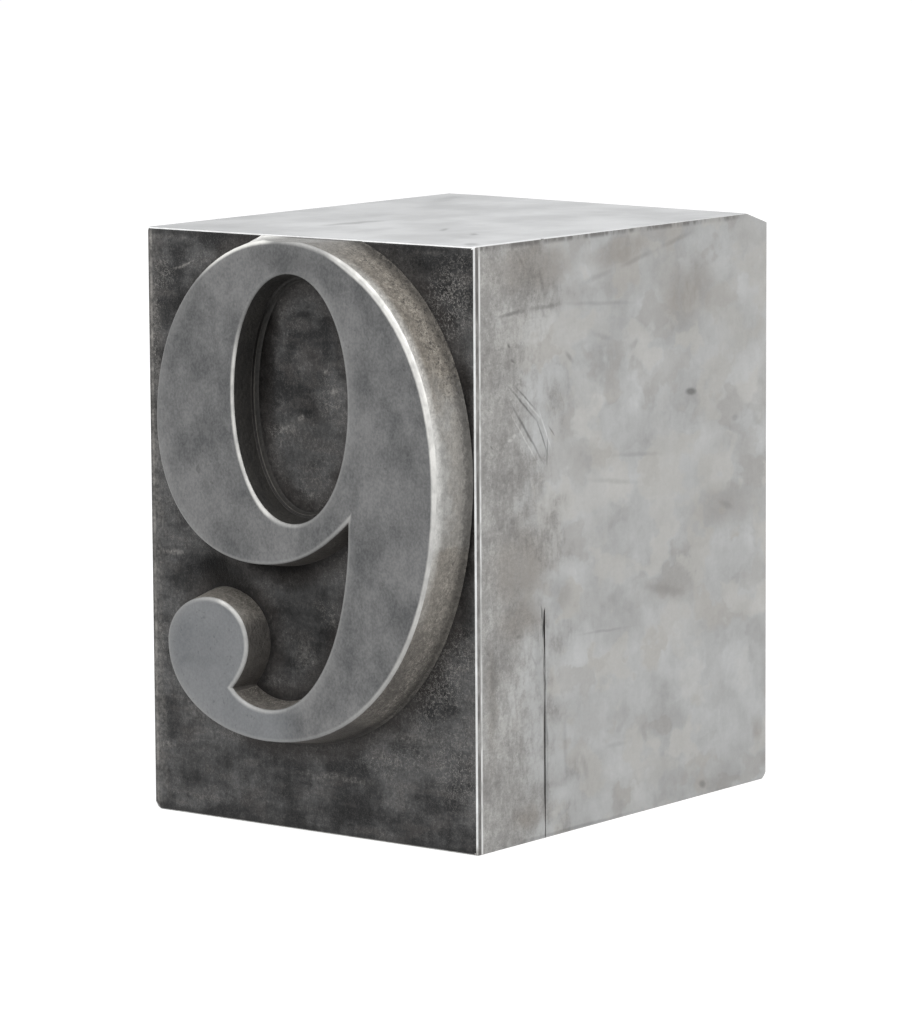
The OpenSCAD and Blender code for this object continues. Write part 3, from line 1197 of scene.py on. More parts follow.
class Bench:
    """Node tree of one material, on which a finish is mixed."""

    def __init__(self, owner: Union[bpy.types.Material, bpy.types.World]) -> None:
        """Clears the node tree of a material or world.

        Args:
            owner: What the tree belongs to.
        """
        owner.use_nodes = True
        self.owner = owner
        self.tree = owner.node_tree
        self.tree.nodes.clear()

    @classmethod
    def for_piece(cls, name: str) -> "Bench":
        """Starts a material that reads the object's own millimetres.

        Args:
            name: Name of the material.

        Returns:
            The bench, with the place and its three parts as wires.
        """
        bench = cls(bpy.data.materials.new(name))
        place = bench.node("ShaderNodeTexCoord", {}, out="Object")
        bench.place = bench.node("ShaderNodeVectorMath", {0: place, "Scale": 1 / MM}, operation="SCALE")
        bench.x, bench.y, bench.z = bench.parts(bench.place)
        return bench

    def parts(self, vector: Wire) -> list[Wire]:
        """Three parts of a vector."""
        split = self.node("ShaderNodeSeparateXYZ", {0: vector}).socket.node
        return [Wire(self, split.outputs[i]) for i in range(3)]

    def beside(self) -> list[Wire]:
        """Distance outwards from the figure's edge in millimetres, and that edge's direction to the right and up."""
        return self.parts(self.node("ShaderNodeAttribute", {}, out="Vector", attribute_name=Outline.name))

    def spot(self, size: Union[float, Sequence[float]], seed: float) -> Wire:
        """Place in a pattern.

        Args:
            size: Size of its features in millimetres, one for all axes or one for each.
            seed: Which part of the pattern is used.

        Returns:
            The place.
        """
        sizes = (size,) * 3 if isinstance(size, (int, float)) else size
        return self.node("ShaderNodeMapping", {0: self.place, 1: (seed, seed * 0.7, seed * 1.3),
                                               3: [1 / s for s in sizes]})

    def creases(self, size: Union[float, Sequence[float]], seed: float, width: float = 0.03) -> Wire:
        """Thin curled lines, such as raised specks of worn metal, from 0 to 1.

        Args:
            size: Size of the clouds along whose middle value the lines run, in millimetres.
            seed: Which part of the pattern is used.
            width: Half the width of a line, as a share of the clouds' range.

        Returns:
            The pattern.
        """
        middle = self.math("ABSOLUTE", self.grain(size, seed, 3.0, 0.7) - 0.5)
        return middle.step(width * 2.5, 0.0)

    def patches(self, size: Sequence[float], seed: float, wander: float = 0.5) -> list[Wire]:
        """Blocky patches with soft uneven edges.

        Args:
            size: Size of a patch along each axis in millimetres.
            seed: Which part of the pattern is used.
            wander: How far the edges stray, as a share of a patch.

        Returns:
            Three patterns from 0 to 1 that share the same patches.
        """
        spot = self.spot(size, seed)
        cloud = self.node("ShaderNodeTexNoise", {"Vector": spot, "Scale": 1.6, "Detail": 3.0}, out=1)
        moved = self.node("ShaderNodeVectorMath", {0: cloud, 1: (wander * 3,) * 3, 2: spot},
                          operation="MULTIPLY_ADD")
        cells = self.node("ShaderNodeTexVoronoi", {"Vector": moved, "Scale": 1.0, "Smoothness": 0.5}, out="Color",
                          feature="SMOOTH_F1", distance="CHEBYCHEV")
        return self.parts(cells)

    def node(self, kind: str, sockets: dict, out: Union[int, str, None] = 0, **settings: object) -> Optional[Wire]:
        """Adds a node.

        Args:
            kind: Type of the node.
            sockets: Value or wire of each input, by name or number.
            out: Output to return, if any.
            settings: Properties of the node, set first.

        Returns:
            The chosen output.
        """
        made = self.tree.nodes.new(kind)
        for name, value in settings.items():
            setattr(made, name, value)
        for key, value in sockets.items():
            if isinstance(value, Wire):
                self.tree.links.new(value.socket, made.inputs[key])
            else:
                made.inputs[key].default_value = value
        return None if out is None else Wire(self, made.outputs[out])

    def math(self, operation: str, *values: Value) -> Wire:
        """Math node on numbers and wires."""
        return self.node("ShaderNodeMath", dict(enumerate(values)), operation=operation)

    def coats(self, colour: Tint, *coats: tuple[Value, Tint]) -> Tint:
        """Lays coats over a colour, each by its own mask.

        Args:
            colour: Colour of the ground.
            coats: Mask and colour of each coat, from the lowest up.

        Returns:
            The colour.
        """
        for mask, coat in coats:
            colour = self.node("ShaderNodeMix", {0: mask, 6: colour, 7: coat}, out=2, data_type="RGBA")
        return colour

    def tone(self, colour: Tint, level: Wire) -> Wire:
        """Colour made lighter or darker by a level round 1."""
        return self.node("ShaderNodeVectorMath", {0: colour, "Scale": level}, operation="SCALE")

    def grain(self, size: Union[float, Sequence[float]], seed: float = 0.0, detail: float = 3.0,
              rough: float = 0.55, low: float = 0.3, high: float = 0.7) -> Wire:
        """Cloudy pattern from 0 to 1.

        Args:
            size: Size of its clouds in millimetres, one for all axes or one for each.
            seed: Which part of the pattern is used.
            detail: Number of finer levels.
            rough: Weight of the finer levels.
            low: Pattern value that becomes 0.
            high: Pattern value that becomes 1.

        Returns:
            The pattern.
        """
        cloud = self.node("ShaderNodeTexNoise", {"Vector": self.spot(size, seed), "Scale": 1.0, "Detail": detail,
                                                 "Roughness": rough})
        return cloud.step(low, high)

    def marks(self, face: Face, marks: Sequence[Mark], wobble: float = 0.15) -> Wire:
        """Mask of stains or scratches, with uneven edges.

        Args:
            face: Face on which they lie.
            marks: The marks.
            wobble: How far their edges wander, in millimetres.

        Returns:
            The mask.
        """
        along, across, square, sign = face.value
        wander = self.node("ShaderNodeTexNoise", {"Vector": self.place, "Scale": 1.1, "Detail": 3.0}, out=1)
        centred = self.node("ShaderNodeVectorMath", {0: wander, 1: (0.5, 0.5, 0.5)}, operation="SUBTRACT")
        moved = self.node("ShaderNodeVectorMath", {0: centred, 1: (wobble * 2,) * 3, 2: self.place},
                          operation="MULTIPLY_ADD")
        total: Optional[Wire] = None
        for mark in marks:
            place, turn, reach = [0.0] * 3, [0.0] * 3, [1000.0] * 3
            place[along], place[across] = mark.middle
            reach[along], reach[across] = mark.reach
            turn[square] = sign * math.radians(mark.turn)
            local = self.node("ShaderNodeMapping", {0: moved, 1: place, 2: turn, 3: reach}, vector_type="TEXTURE")
            distance = self.node("ShaderNodeVectorMath", {0: local}, out=1, operation="LENGTH")
            mask = distance.step(1.0, 1.0 - mark.softness, mark.strength)
            total = mask if total is None else total | mask
        return total

    def finish(self, colour: Tint, roughness: Value, metallic: Value, height: Optional[Wire] = None,
               depth: float = 0.02) -> bpy.types.Material:
        """Closes the tree with its shader.

        Args:
            colour: Base colour.
            roughness: Roughness.
            metallic: Share of bare metal.
            height: Height of the surface from 0 to 1.
            depth: Depth of that height in millimetres.

        Returns:
            The material.
        """
        sockets: dict = {"Base Color": colour, "Roughness": roughness, "Metallic": metallic}
        if height is not None:
            sockets["Normal"] = self.node("ShaderNodeBump", {"Strength": 1.0, "Distance": depth * MM,
                                                             "Height": height})
        shader = self.node("ShaderNodeBsdfPrincipled", sockets)
        self.node_out(shader)
        return self.owner

    def node_out(self, shader: Wire) -> None:
        """Links a shader to the output of the material or world."""
        kind = "World" if isinstance(self.owner, bpy.types.World) else "Material"
        self.node(f"ShaderNodeOutput{kind}", {"Surface": shader}, out=None)


@dataclass(frozen=True)
class Recipe:
    """What a finish is mixed from.

    The light is the level at which the lamps light that face, and the colours are those that it shows.
    """

    seed: float = 0.0
    rough: float = 0.5
    metal: float = 0.5
    bump: float = 0.015
    light: float = 1.0

    def mix(self, bench: Bench) -> bpy.types.Material:
        """Mixes the finish on a bench."""
        raise NotImplementedError


@dataclass(frozen=True)
class PlanedSide(Recipe):
    """Planed and stained metal of the sides, one pattern across plate, solder and body."""

    rough: float = 0.48
    bump: float = 0.014
    marked: bool = False
    pale: Colour = shade(182, 183, 183)
    dull: Colour = shade(150, 150, 149)
    cream: Colour = shade(180, 177, 171)
    brown: Colour = shade(143, 138, 132)
    front_pale: Colour = shade(172, 171, 168)
    front_dull: Colour = shade(122, 120, 118)
    line_dark: Colour = shade(96, 94, 92)
    # Colour of the painted highlight on the ridge along the shoulder
    ridge_highlight: Colour = shade(226, 226, 225)
    # Places along y between which the side turns rougher, and its border grittier, towards the shoulder
    front_band: Point = (-3.0, -7.6)
    border_band: Point = (-7.4, -9.0)
    # Where the worn ridge along the shoulder begins, along which a highlight is painted, and where the dark line
    # under the head side's edge ends
    ridge_y: float = -9.42
    line_z: float = 25.2
    # Scratches, the pit and dark smears on the right side, as [y, z]
    dark_marks: tuple[Mark, ...] = (
        scratch((-7.7, 19.6), (-5.0, 17.4), 0.08), scratch((-5.6, 18.1), (-4.5, 15.9), 0.08),
        scratch((-7.2, 19.5), (-5.3, 18.1), 0.06, 0.9), scratch((-7.6, 19.1), (-4.7, 15.6), 0.1),
        scratch((-4.68, 17.3), (-4.74, 15.5), 0.07, 0.9), scratch((-4.7, 17.5), (-4.1, 16.9), 0.06, 0.9),
        scratch((-8.4, 22.3), (-6.0, 22.42), 0.12, 0.8), scratch((-6.4, 22.4), (-3.4, 22.5), 0.14, 0.55),
        scratch((-4.0, 22.5), (2.2, 22.05), 0.14, 0.3), scratch((-5.3, 24.4), (-4.8, 22.5), 0.2, 0.45),
        Mark((-6.0, 23.5), (1.2, 0.8), 0.3, 20), scratch((-2.6, 23.15), (0.6, 23.7), 0.2, 0.3),
        scratch((0.2, 23.6), (3.2, 24.25), 0.18, 0.35), scratch((3.0, 24.2), (6.3, 24.9), 0.18, 0.35),
        scratch((-6.8, 24.9), (-6.2, 24.1), 0.14, 0.5), scratch((-7.5, 21.2), (-7.2, 20.9), 0.08, 0.8),
        scratch((-7.3, 20.5), (-6.9, 20.3), 0.09, 0.9), scratch((-8.7, 17.1), (-8.4, 16.8), 0.06, 0.8),
        Mark((5.72, 17.88), (0.54, 0.22), 1.0, -8, softness=0.7), Mark((9.1, 16.4), (0.35, 0.2), 0.4, -8),
        scratch((-3.5, 20.5), (-2.8, 19.9), 0.18, 0.6), scratch((-1.7, 21.1), (0.2, 20.6), 0.2, 0.25),
        scratch((-0.4, 15.75), (3.9, 15.4), 0.16, 0.3), scratch((-2.2, 14.9), (2.4, 14.3), 0.17, 0.28),
        scratch((7.6, 12.95), (9.2, 12.35), 0.22, 0.28), scratch((1.6, 10.0), (5.8, 9.0), 0.34, 0.26),
        scratch((-3.1, 8.35), (1.6, 8.2), 0.1, 0.3), Mark((-8.5, 7.0), (0.5, 3.4), 0.36, -2),
        scratch((-7.1, 8.85), (-6.4, 8.8), 0.14, 0.5), scratch((-0.9, 3.25), (1.3, 3.2), 0.18, 0.28),
        scratch((-3.6, 5.4), (-3.45, 2.0), 0.22, 0.28), scratch((-2.4, 3.5), (-1.8, 1.6), 0.3, 0.28),
        scratch((-9.2, 0.12), (3.0, 0.1), 0.12, 0.5), Mark((6.6, 0.5), (0.4, 0.24), 0.7, -20),
        Mark((-3.8, 10.3), (1.1, 1.1), 0.4, softness=0.7), Mark((-6.6, 10.5), (2.0, 1.7), 0.14))
    # Jagged lengths of the joint's crack and what branches off it, as [y, z]
    crack_marks: tuple[Mark, ...] = (
        scratch((-5.2, 10.05), (-5.06, 9.1), 0.07, 0.9), scratch((-5.14, 9.4), (-5.0, 8.3), 0.1),
        scratch((-5.06, 8.6), (-4.93, 5.6), 0.09, 0.75), scratch((-4.98, 6.2), (-4.8, 3.4), 0.14, 0.6),
        scratch((-4.86, 4.2), (-4.78, 0.5), 0.18, 0.45), Mark((-4.9, 2.2), (0.24, 0.5), 0.4, 3),
        Mark((-5.4, 7.6), (0.4, 2.3), 0.2, 3), scratch((-5.95, 8.2), (-5.35, 6.9), 0.12, 0.3))
    # Brown stains on the right side
    stains: tuple[Mark, ...] = (
        Mark((-6.8, 11.6), (2.8, 2.3)), Mark((-6.6, 9.6), (2.4, 1.4), 0.9), Mark((-6.2, 1.1), (1.4, 0.7)),
        Mark((-8.6, 6.2), (0.6, 3.6), 0.6), Mark((-5.6, 24.2), (4.6, 1.4), 0.9),
        Mark((0.6, 24.4), (3.6, 0.9), 0.8, 8), Mark((5.5, 22.3), (2.8, 1.8), 0.9, 20),
        Mark((8.4, 12.6), (3.8, 1.3), 0.5), Mark((3.8, 9.4), (2.4, 0.7), 0.35, -12),
        Mark((10.9, 2.4), (0.7, 0.9), 0.7))
    # Broad cleaner places on the right side
    cool_places: tuple[Mark, ...] = (
        Mark((1.4, 18.4), (5.0, 1.9)), Mark((5.6, 18.6), (1.2, 1.0), 0.8), Mark((-3.7, 6.4), (1.3, 1.5)),
        Mark((9.5, 19.2), (0.9, 0.6)), Mark((-6.9, 5.8), (1.0, 3.4), 0.9), Mark((2.0, 12.2), (2.4, 0.6), 0.6),
        Mark((8.6, 20.6), (1.8, 0.8), 0.6))
    # Rubbed and chipped places on the right side
    pale_marks: tuple[Mark, ...] = (
        Mark((-8.4, 13.35), (0.8, 0.18), 0.8), Mark((-7.3, 17.1), (0.3, 0.1)),
        Mark((-7.0, 17.25), (0.16, 0.12), 1.0, 40), scratch((-6.6, 19.0), (-4.9, 17.6), 0.06),
        scratch((-7.8, 18.9), (-5.0, 15.5), 0.06), scratch((-5.4, 18.4), (-4.35, 16.3), 0.06),
        scratch((-5.36, 9.8), (-5.22, 7.6), 0.06, 0.5), Mark((11.0, 13.0), (1.4, 13.0), 0.26))

    def mix(self, bench: Bench) -> bpy.types.Material:
        """Mixes soft clouds behind, a crisp grain towards the face, and placed marks.

        Args:
            bench: Where it is mixed.

        Returns:
            The material.
        """
        clouds = bench.grain((2.4, 3.0, 2.0), self.seed, 2.0, 0.5, 0.34, 0.66)
        broad, small, tint = bench.patches((1.8, 1.9, 1.5), self.seed + 8)
        fine = bench.grain((0.3, 0.4, 0.25), self.seed + 3, 4.0, 0.65)
        streaks = bench.grain((0.5, 0.4, 0.7), self.seed + 6, 4.0, 0.6, 0.36, 0.64)
        front = (bench.y + (clouds - 0.5) * 2.4 + (streaks - 0.5) * 1.4).step(*self.front_band)
        border = bench.y.step(*self.border_band)
        flecks = bench.creases((0.24, 0.24, 0.28), self.seed + 5, 0.05)
        flecks = flecks * (0.3 + streaks * 0.7) * (border + front) * 0.5
        grit = bench.grain((0.16, 0.2, 0.14), self.seed + 9, 3.0, 0.75, 0.36, 0.64)
        nicks = bench.creases((0.5, 0.8, 1.0), self.seed + 17, 0.022) * front
        rough = streaks * 0.3 + clouds * 0.3 + broad * 0.2 + fine * 0.2
        forward = bench.coats(self.front_dull, (rough, self.front_pale))
        colour = bench.coats(
            self.dull,
            (clouds * 0.45 + broad * 0.42 + streaks * 0.13, self.pale),
            (tint.step(0.45, 0.85) * 0.4, self.cream),
            (small.step(0.5, 0.9) * 0.3, self.brown),
            (front * 0.9, forward))
        level = 1.0 + (fine - 0.5) * 0.04 + (grit - 0.5) * (0.03 + front * 0.15) + flecks * 0.3 - nicks * 0.14
        if self.marked:
            dark, stains, crack, cool, pale = (
                bench.marks(Face.SIDE, marks, wobble) for marks, wobble in (
                    (self.dark_marks, 0.06), (self.stains, 0.5), (self.crack_marks, 0.2), (self.cool_places, 0.6),
                    (self.pale_marks, 0.06)))
            colour = bench.coats(colour, (stains * (0.45 + streaks * 0.3), self.brown))
            level = level * (1.0 - dark * 0.5) * (1.0 - crack * 0.62) * (1.0 + cool * 0.06)
            level = level * (1.0 - stains * 0.08) + pale * 0.34
        colour = bench.tone(colour, level)
        if self.marked:
            uneven = bench.grain((0.5, 0.5, 1.4), self.seed + 13, 3.0, 0.6, 0.38, 0.6)
            under_head = bench.z.step(self.line_z - 0.2, self.line_z) * bench.y.step(10.4, 8.0)
            behind_ridge = bench.y.step(self.ridge_y + 0.12, self.ridge_y) * (0.35 + uneven * 0.65)
            # Painted highlight along the ridge by the shoulder, with the dark line behind it
            ridge = (bench.y.step(self.ridge_y, self.ridge_y + 0.06)
                     * bench.y.step(self.ridge_y + 0.18, self.ridge_y + 0.1))
            colour = bench.coats(
                colour,
                (under_head * (0.2 + uneven * 0.6) | behind_ridge * 0.9, self.line_dark),
                (ridge * (0.3 + uneven * 0.6), self.ridge_highlight))
        height = fine * (0.2 + front * 0.5) + flecks * 0.6
        return bench.finish(colour, self.rough + front * 0.1, self.metal, height, self.bump)


@dataclass(frozen=True)
class DarkCast(Recipe):
    """Dark oxidised metal of shoulder and counter floors with pale specks, and painted shade that makes it blackest
    beside the figure and in hollows.
    """

    seed: float = 20.0
    rough: float = 0.62
    metal: float = 0.3
    bump: float = 0.026
    light: float = 0.8
    dark: Colour = shade(22, 22, 23)
    mid: Colour = shade(88, 88, 88)
    brown: Colour = shade(68, 61, 57)
    speck: Colour = shade(156, 153, 149)
    # Where the rubbed line along the left edge begins and ends, along x
    left_line: Point = (-8.46, -8.7)
    # Heights over which the shoulder darkens towards the lower and the head side
    low_border: Point = (0.4, 0.12)
    head_border: Point = (24.9, 25.12)
    # Painted shadow in hollows, as [x, z]
    shadow_places: tuple[Mark, ...] = (
        Mark((-2.0, 21.0), (1.3, 5.0), 0.9), Mark((-1.0, 11.6), (3.6, 1.5), 0.9, 6),
        Mark((-4.3, 10.8), (3.1, 1.4), 1.0, -6), Mark((-7.0, 10.2), (1.2, 1.0), 0.5, 30),
        Mark((-6.4, 22.2), (1.0, 2.4), 0.6, -38), Mark((0.3, 9.2), (2.8, 3.6), 0.75),
        Mark((0.6, 12.4), (1.4, 1.2), 0.5), Mark((0.8, 22.4), (1.6, 1.0), 0.4, -20),
        Mark((1.5, 1.0), (5.0, 0.9), 0.3), Mark((8.3, 15.0), (0.7, 8.0), 0.9),
        Mark((5.4, 24.6), (2.0, 0.7), 0.6, -20), Mark((-6.2, 2.2), (2.6, 1.3), 0.45),
        Mark((0.6, 17.0), (2.0, 3.4), 0.35))
    # Places where pale specks gather, as [x, z]
    speckled_places: tuple[Mark, ...] = (
        Mark((7.3, 22.8), (1.6, 3.0), 1.0, -25), Mark((6.9, 7.4), (1.9, 3.2), 0.9, -28),
        Mark((7.6, 3.6), (1.6, 2.4), 0.6), Mark((4.8, 3.6), (3.0, 1.0), 0.4, 8), Mark((-8.5, 21.0), (0.5, 3.6)),
        Mark((-8.4, 6.0), (0.4, 5.6), 0.4), Mark((-7.9, 23.2), (0.9, 1.4), 0.7), Mark((1.7, 18.9), (0.8, 1.2), 0.7),
        Mark((-0.9, 17.1), (1.0, 0.5), 0.8), Mark((0.9, 15.0), (1.4, 1.4), 0.45, -20),
        Mark((0.24, 7.7), (0.9, 0.9), 0.6), Mark((1.4, 9.6), (0.9, 0.6), 0.8, -30),
        Mark((-1.7, 9.0), (0.3, 0.7), 0.6))
    # Smears and scratches on shoulder and floors, as [x, z]
    worn_places: tuple[Mark, ...] = (
        scratch((-7.6, 23.5), (-5.8, 24.1), 0.09, 0.8), Mark((-7.6, 11.4), (1.1, 0.22), 0.7),
        Mark((-8.1, 2.9), (0.9, 0.25), 0.6), Mark((1.2, 2.5), (3.2, 0.22), 0.4, 1),
        Mark((-6.3, 4.4), (1.6, 0.5), 0.25, -6), Mark((5.6, 4.6), (2.6, 0.4), 0.35, 4),
        scratch((0.9, 18.42), (2.4, 18.36), 0.05), scratch((-1.2, 17.15), (0.1, 17.2), 0.06, 0.9),
        Mark((1.56, 19.8), (0.1, 0.2), 1.0, -30), Mark((1.95, 18.9), (0.5, 0.2), 1.0, 10),
        Mark((-0.6, 17.3), (0.8, 0.35), 0.7), Mark((0.1, 17.7), (0.3, 0.16), 0.9, 40),
        Mark((0.24, 7.7), (0.9, 0.85), 0.55), Mark((1.75, 9.3), (0.16, 0.22), 0.8),
        scratch((-1.74, 9.4), (-1.8, 8.7), 0.04, 0.7), Mark((2.0, 12.2), (0.2, 0.12), 0.7),
        scratch((6.4, 21.9), (7.2, 21.0), 0.05, 0.6), scratch((7.1, 23.8), (7.9, 22.9), 0.05, 0.7),
        scratch((6.0, 6.0), (6.9, 7.3), 0.05, 0.5), Mark((3.6, 12.9), (0.2, 0.1), 0.4))

    def mix(self, bench: Bench) -> bpy.types.Material:
        """Mixes mottling, painted contact shade, painted shadow in hollows, specks and placed smears.

        Args:
            bench: Where it is mixed.

        Returns:
            The material.
        """
        gap = bench.beside()[0]
        clouds = bench.grain((3.0, 3.0, 2.3), self.seed, 3.0, 0.55, 0.36, 0.64)
        smears = bench.grain((2.0, 2.0, 0.7), self.seed + 4, 4.0, 0.65, 0.34, 0.68)
        upright = bench.grain((0.5, 0.5, 1.6), self.seed + 6, 4.0, 0.65, 0.32, 0.68)
        fine = bench.grain((0.16, 0.2, 0.2), self.seed + 2, 4.0, 0.75, 0.36, 0.64)
        flecks = bench.creases((0.24, 0.24, 0.27), self.seed + 9, 0.042)
        speckled, worn, hollow_shadow = (
            bench.marks(Face.FRONT, marks, wobble) for marks, wobble in (
                (self.speckled_places, 0.6), (self.worn_places, 0.3), (self.shadow_places, 0.4)))
        mottled = (clouds * 0.5 + upright * 0.2 + smears * 0.3).step(0.12, 0.88)
        left = (bench.x + (upright - 0.5) * 0.6).step(-7.9, -8.6) * 0.4
        begin, end = self.left_line
        edge = bench.x.step(begin, begin - 0.1) * bench.x.step(end, end + 0.08) * (0.25 + smears * 0.5)
        pale = flecks * (0.14 + speckled * 0.85 + smears * clouds * 0.3) | worn * (0.12 + fine * 0.4 + flecks * 0.9)
        colour = bench.coats(
            self.dark,
            (mottled, self.mid),
            # Painted shade: a brown contact shadow beside the figure, laid with the real brown smears
            (gap.step(1.6, 0.5) * 0.5 | smears.step(0.5, 1.0) * 0.25, self.brown),
            (pale | left * (0.3 + fine * 0.5) | edge, self.speck))
        # Painted shade: the metal darkens towards the figure's foot and where it meets it, and in the shaded hollows
        close = (gap + (fine - 0.5) * 0.12).step(1.5, 0.4)
        touching = (gap + (fine - 0.5) * 0.14).step(0.7, 0.42)
        border = bench.z.step(*self.low_border) | bench.z.step(*self.head_border)
        level = ((0.56 + fine * 0.44) * (1.0 - close * 0.45) * (1.0 - touching * 0.5) * (1.0 - hollow_shadow * 0.66)
                 * (1.0 - border * 0.4))
        colour = bench.tone(colour, level * (1 / self.light))
        # The painted shadow in hollows also raises the share of bare metal, to darken them further
        return bench.finish(colour, self.rough + fine * 0.08, self.metal + hollow_shadow * 0.6, fine * 0.5 + pale * 0.6,
                            self.bump)


@dataclass(frozen=True)
class RubbedFace(Recipe):
    """Printing face, rubbed to a soft grey, with a painted highlight on its rounded rim where it looks to the light.
    """

    seed: float = 31.0
    metal: float = 0.4
    bump: float = 0.006
    light: float = 0.9
    grey: Colour = shade(114, 114, 114)
    dull: Colour = shade(70, 71, 72)
    blue: Colour = shade(118, 121, 124)
    # Rim colours, both painted highlight: lighter all round and bright where the rim looks to the light; the lighter
    # one also tints the land beside edges that look left
    soft_rim: Colour = shade(140, 140, 139)
    rim_highlight: Colour = shade(216, 215, 211)
    # Dark smudges and a small pit on the printing face, as [x, z]
    smudges: tuple[Mark, ...] = (
        Mark((0.3, 24.4), (2.6, 0.8), 0.45), Mark((-4.37, 15.5), (0.13, 0.28), 1.0, 12, softness=0.5),
        Mark((-4.1, 17.4), (0.9, 0.5), 0.3), Mark((5.3, 18.8), (1.2, 0.35), 0.45, 4),
        Mark((6.6, 17.0), (0.6, 0.4), 0.4), Mark((4.6, 22.4), (0.5, 1.0), 0.35, 30),
        Mark((-6.4, 20.2), (0.5, 0.9), 0.25), Mark((4.9, 12.8), (0.8, 0.6), 0.3),
        Mark((-5.2, 7.2), (0.9, 0.25), 0.25, 10), Mark((6.2, 9.6), (0.5, 0.8), 0.3, -30),
        Mark((0.4, 5.2), (1.2, 0.2), 0.3, 6))

    def rim(self, bench: Bench, gap: Wire, right: Wire, up: Wire) -> tuple[Wire, Wire]:
        """Works out the rim and its painted highlight, which is brightest where the rim looks to the light.

        Args:
            bench: Where it is mixed.
            gap: Distance outwards from the edge.
            right: How far the edge looks to the right.
            up: How far it looks up.

        Returns:
            Mask of the rim, and how bright its painted highlight is.
        """
        # Painted highlight, strongest where the rim looks right and up towards the lamps, and at the counter, the
        # ball and the head
        toward = (right * 0.85 + up * 0.4).step(-0.25, 0.75)
        within = bench.x.step(2.6, 1.0) * bench.z.step(12.0, 12.6) * up.step(0.8, 0.4)
        outer = bench.x.step(2.2, 4.0)
        high = bench.z.step(12.0, 19.0) * outer
        ball_head = bench.z.step(8.4, 9.4) * bench.x.step(1.0, -1.0) * right.step(-0.1, 0.3)
        crown = up.step(0.66, 0.9) * right.step(0.0, -0.15) * bench.z.step(22.0, 23.4)
        lengths = bench.grain(1.3, self.seed + 19, 3.0, 0.6, 0.38, 0.6)
        shy = within * bench.z.step(20.0, 22.4)
        power = 0.4 + outer * 0.25 + high * 0.35 | within * 0.8 | ball_head * 0.8
        highlight_strength = toward * power * (0.7 + lengths * 0.3) * (1.0 - shy * 0.85) | crown
        band = (gap + toward * (high * 0.1 + 0.02) - within * 0.05).step(-0.1, 0.03) * (1.0 - shy * 0.5)
        return band, highlight_strength

    def mix(self, bench: Bench) -> bpy.types.Material:
        """Mixes blotches, placed smudges, and the rim with its painted highlight.

        Args:
            bench: Where it is mixed.

        Returns:
            The material.
        """
        gap, right, up = bench.beside()
        broad = bench.grain((2.2, 2.2, 2.6), self.seed, 2.0, 0.5, 0.34, 0.66)
        blotches = bench.grain((0.5, 0.6, 0.75), self.seed + 2, 4.0, 0.65, 0.38, 0.62)
        fine = bench.grain((0.1, 0.12, 0.13), self.seed + 6, 3.0, 0.7, 0.36, 0.64)
        dots = bench.grain(0.2, self.seed + 10, 2.0, 0.5, 0.64, 0.76)
        smudges = bench.marks(Face.FRONT, self.smudges, 0.35)
        low = bench.z.step(12.5, 9.5) * bench.x.step(1.5, -0.5)
        glow = gap.step(-0.5, -0.08) * right.step(0.1, -0.8) * 0.22
        colour = bench.coats(
            self.dull,
            (broad * 0.5 + blotches * 0.25 + fine * 0.25, self.grey),
            (low * 0.5, self.blue),
            (glow, self.soft_rim))
        colour = bench.tone(colour, (1.0 - dots * 0.25) * (1.0 - smudges * 0.3))
        band, highlight_strength = self.rim(bench, gap, right, up)
        # The rim's painted highlight, laid over the face
        rim = bench.coats(self.soft_rim, (highlight_strength, self.rim_highlight))
        colour = bench.coats(colour, (band * (0.45 + highlight_strength * 0.55), rim))
        colour = bench.tone(colour, (0.97 + fine * 0.06) * (1 / self.light))
        return bench.finish(colour, self.rough + blotches * 0.06, self.metal, fine * 0.4 + blotches * 0.3, self.bump)


@dataclass(frozen=True)
class EdgeHighlightAndWear(Recipe):
    """Outer edges, with a painted highlight along those to the right and at the head side, rubbed bright lengths, and
    dull elsewhere.
    """

    seed: float = 57.0
    rough: float = 0.4
    metal: float = 0.4
    bump: float = 0.006
    # Colour of the painted highlight along the edges, and of the rubbed bright lengths
    bright: Colour = shade(228, 229, 229)
    dull: Colour = shade(138, 136, 132)
    sooty: Colour = shade(98, 97, 95)

    def mix(self, bench: Bench) -> bpy.types.Material:
        """Mixes the painted highlight, rubbed bright lengths and dulled lengths.

        Args:
            bench: Where it is mixed.

        Returns:
            The material.
        """
        lengths = bench.grain((1.6, 1.6, 1.9), self.seed, 4.0, 0.6, 0.35, 0.65)
        fine = bench.grain(0.16, self.seed + 3, 3.0, 0.6, 0.35, 0.65)
        # Painted highlight on the edges to the right and at the head side, which face the lamps
        rubbed = (bench.x.step(5.0, 8.0) | bench.z.step(24.2, 25.0)) * bench.z.step(0.05, 0.5)
        colour = bench.coats(
            self.dull,
            (bench.x.step(-7.0, -8.3) * bench.y.step(-6.0, -8.0), self.sooty),
            (rubbed * (0.7 + lengths * 0.3) | (fine * lengths * 0.5), self.bright))
        colour = bench.tone(colour, 0.96 + fine * 0.08)
        return bench.finish(colour, self.rough + fine * 0.1, self.metal, fine, self.bump)


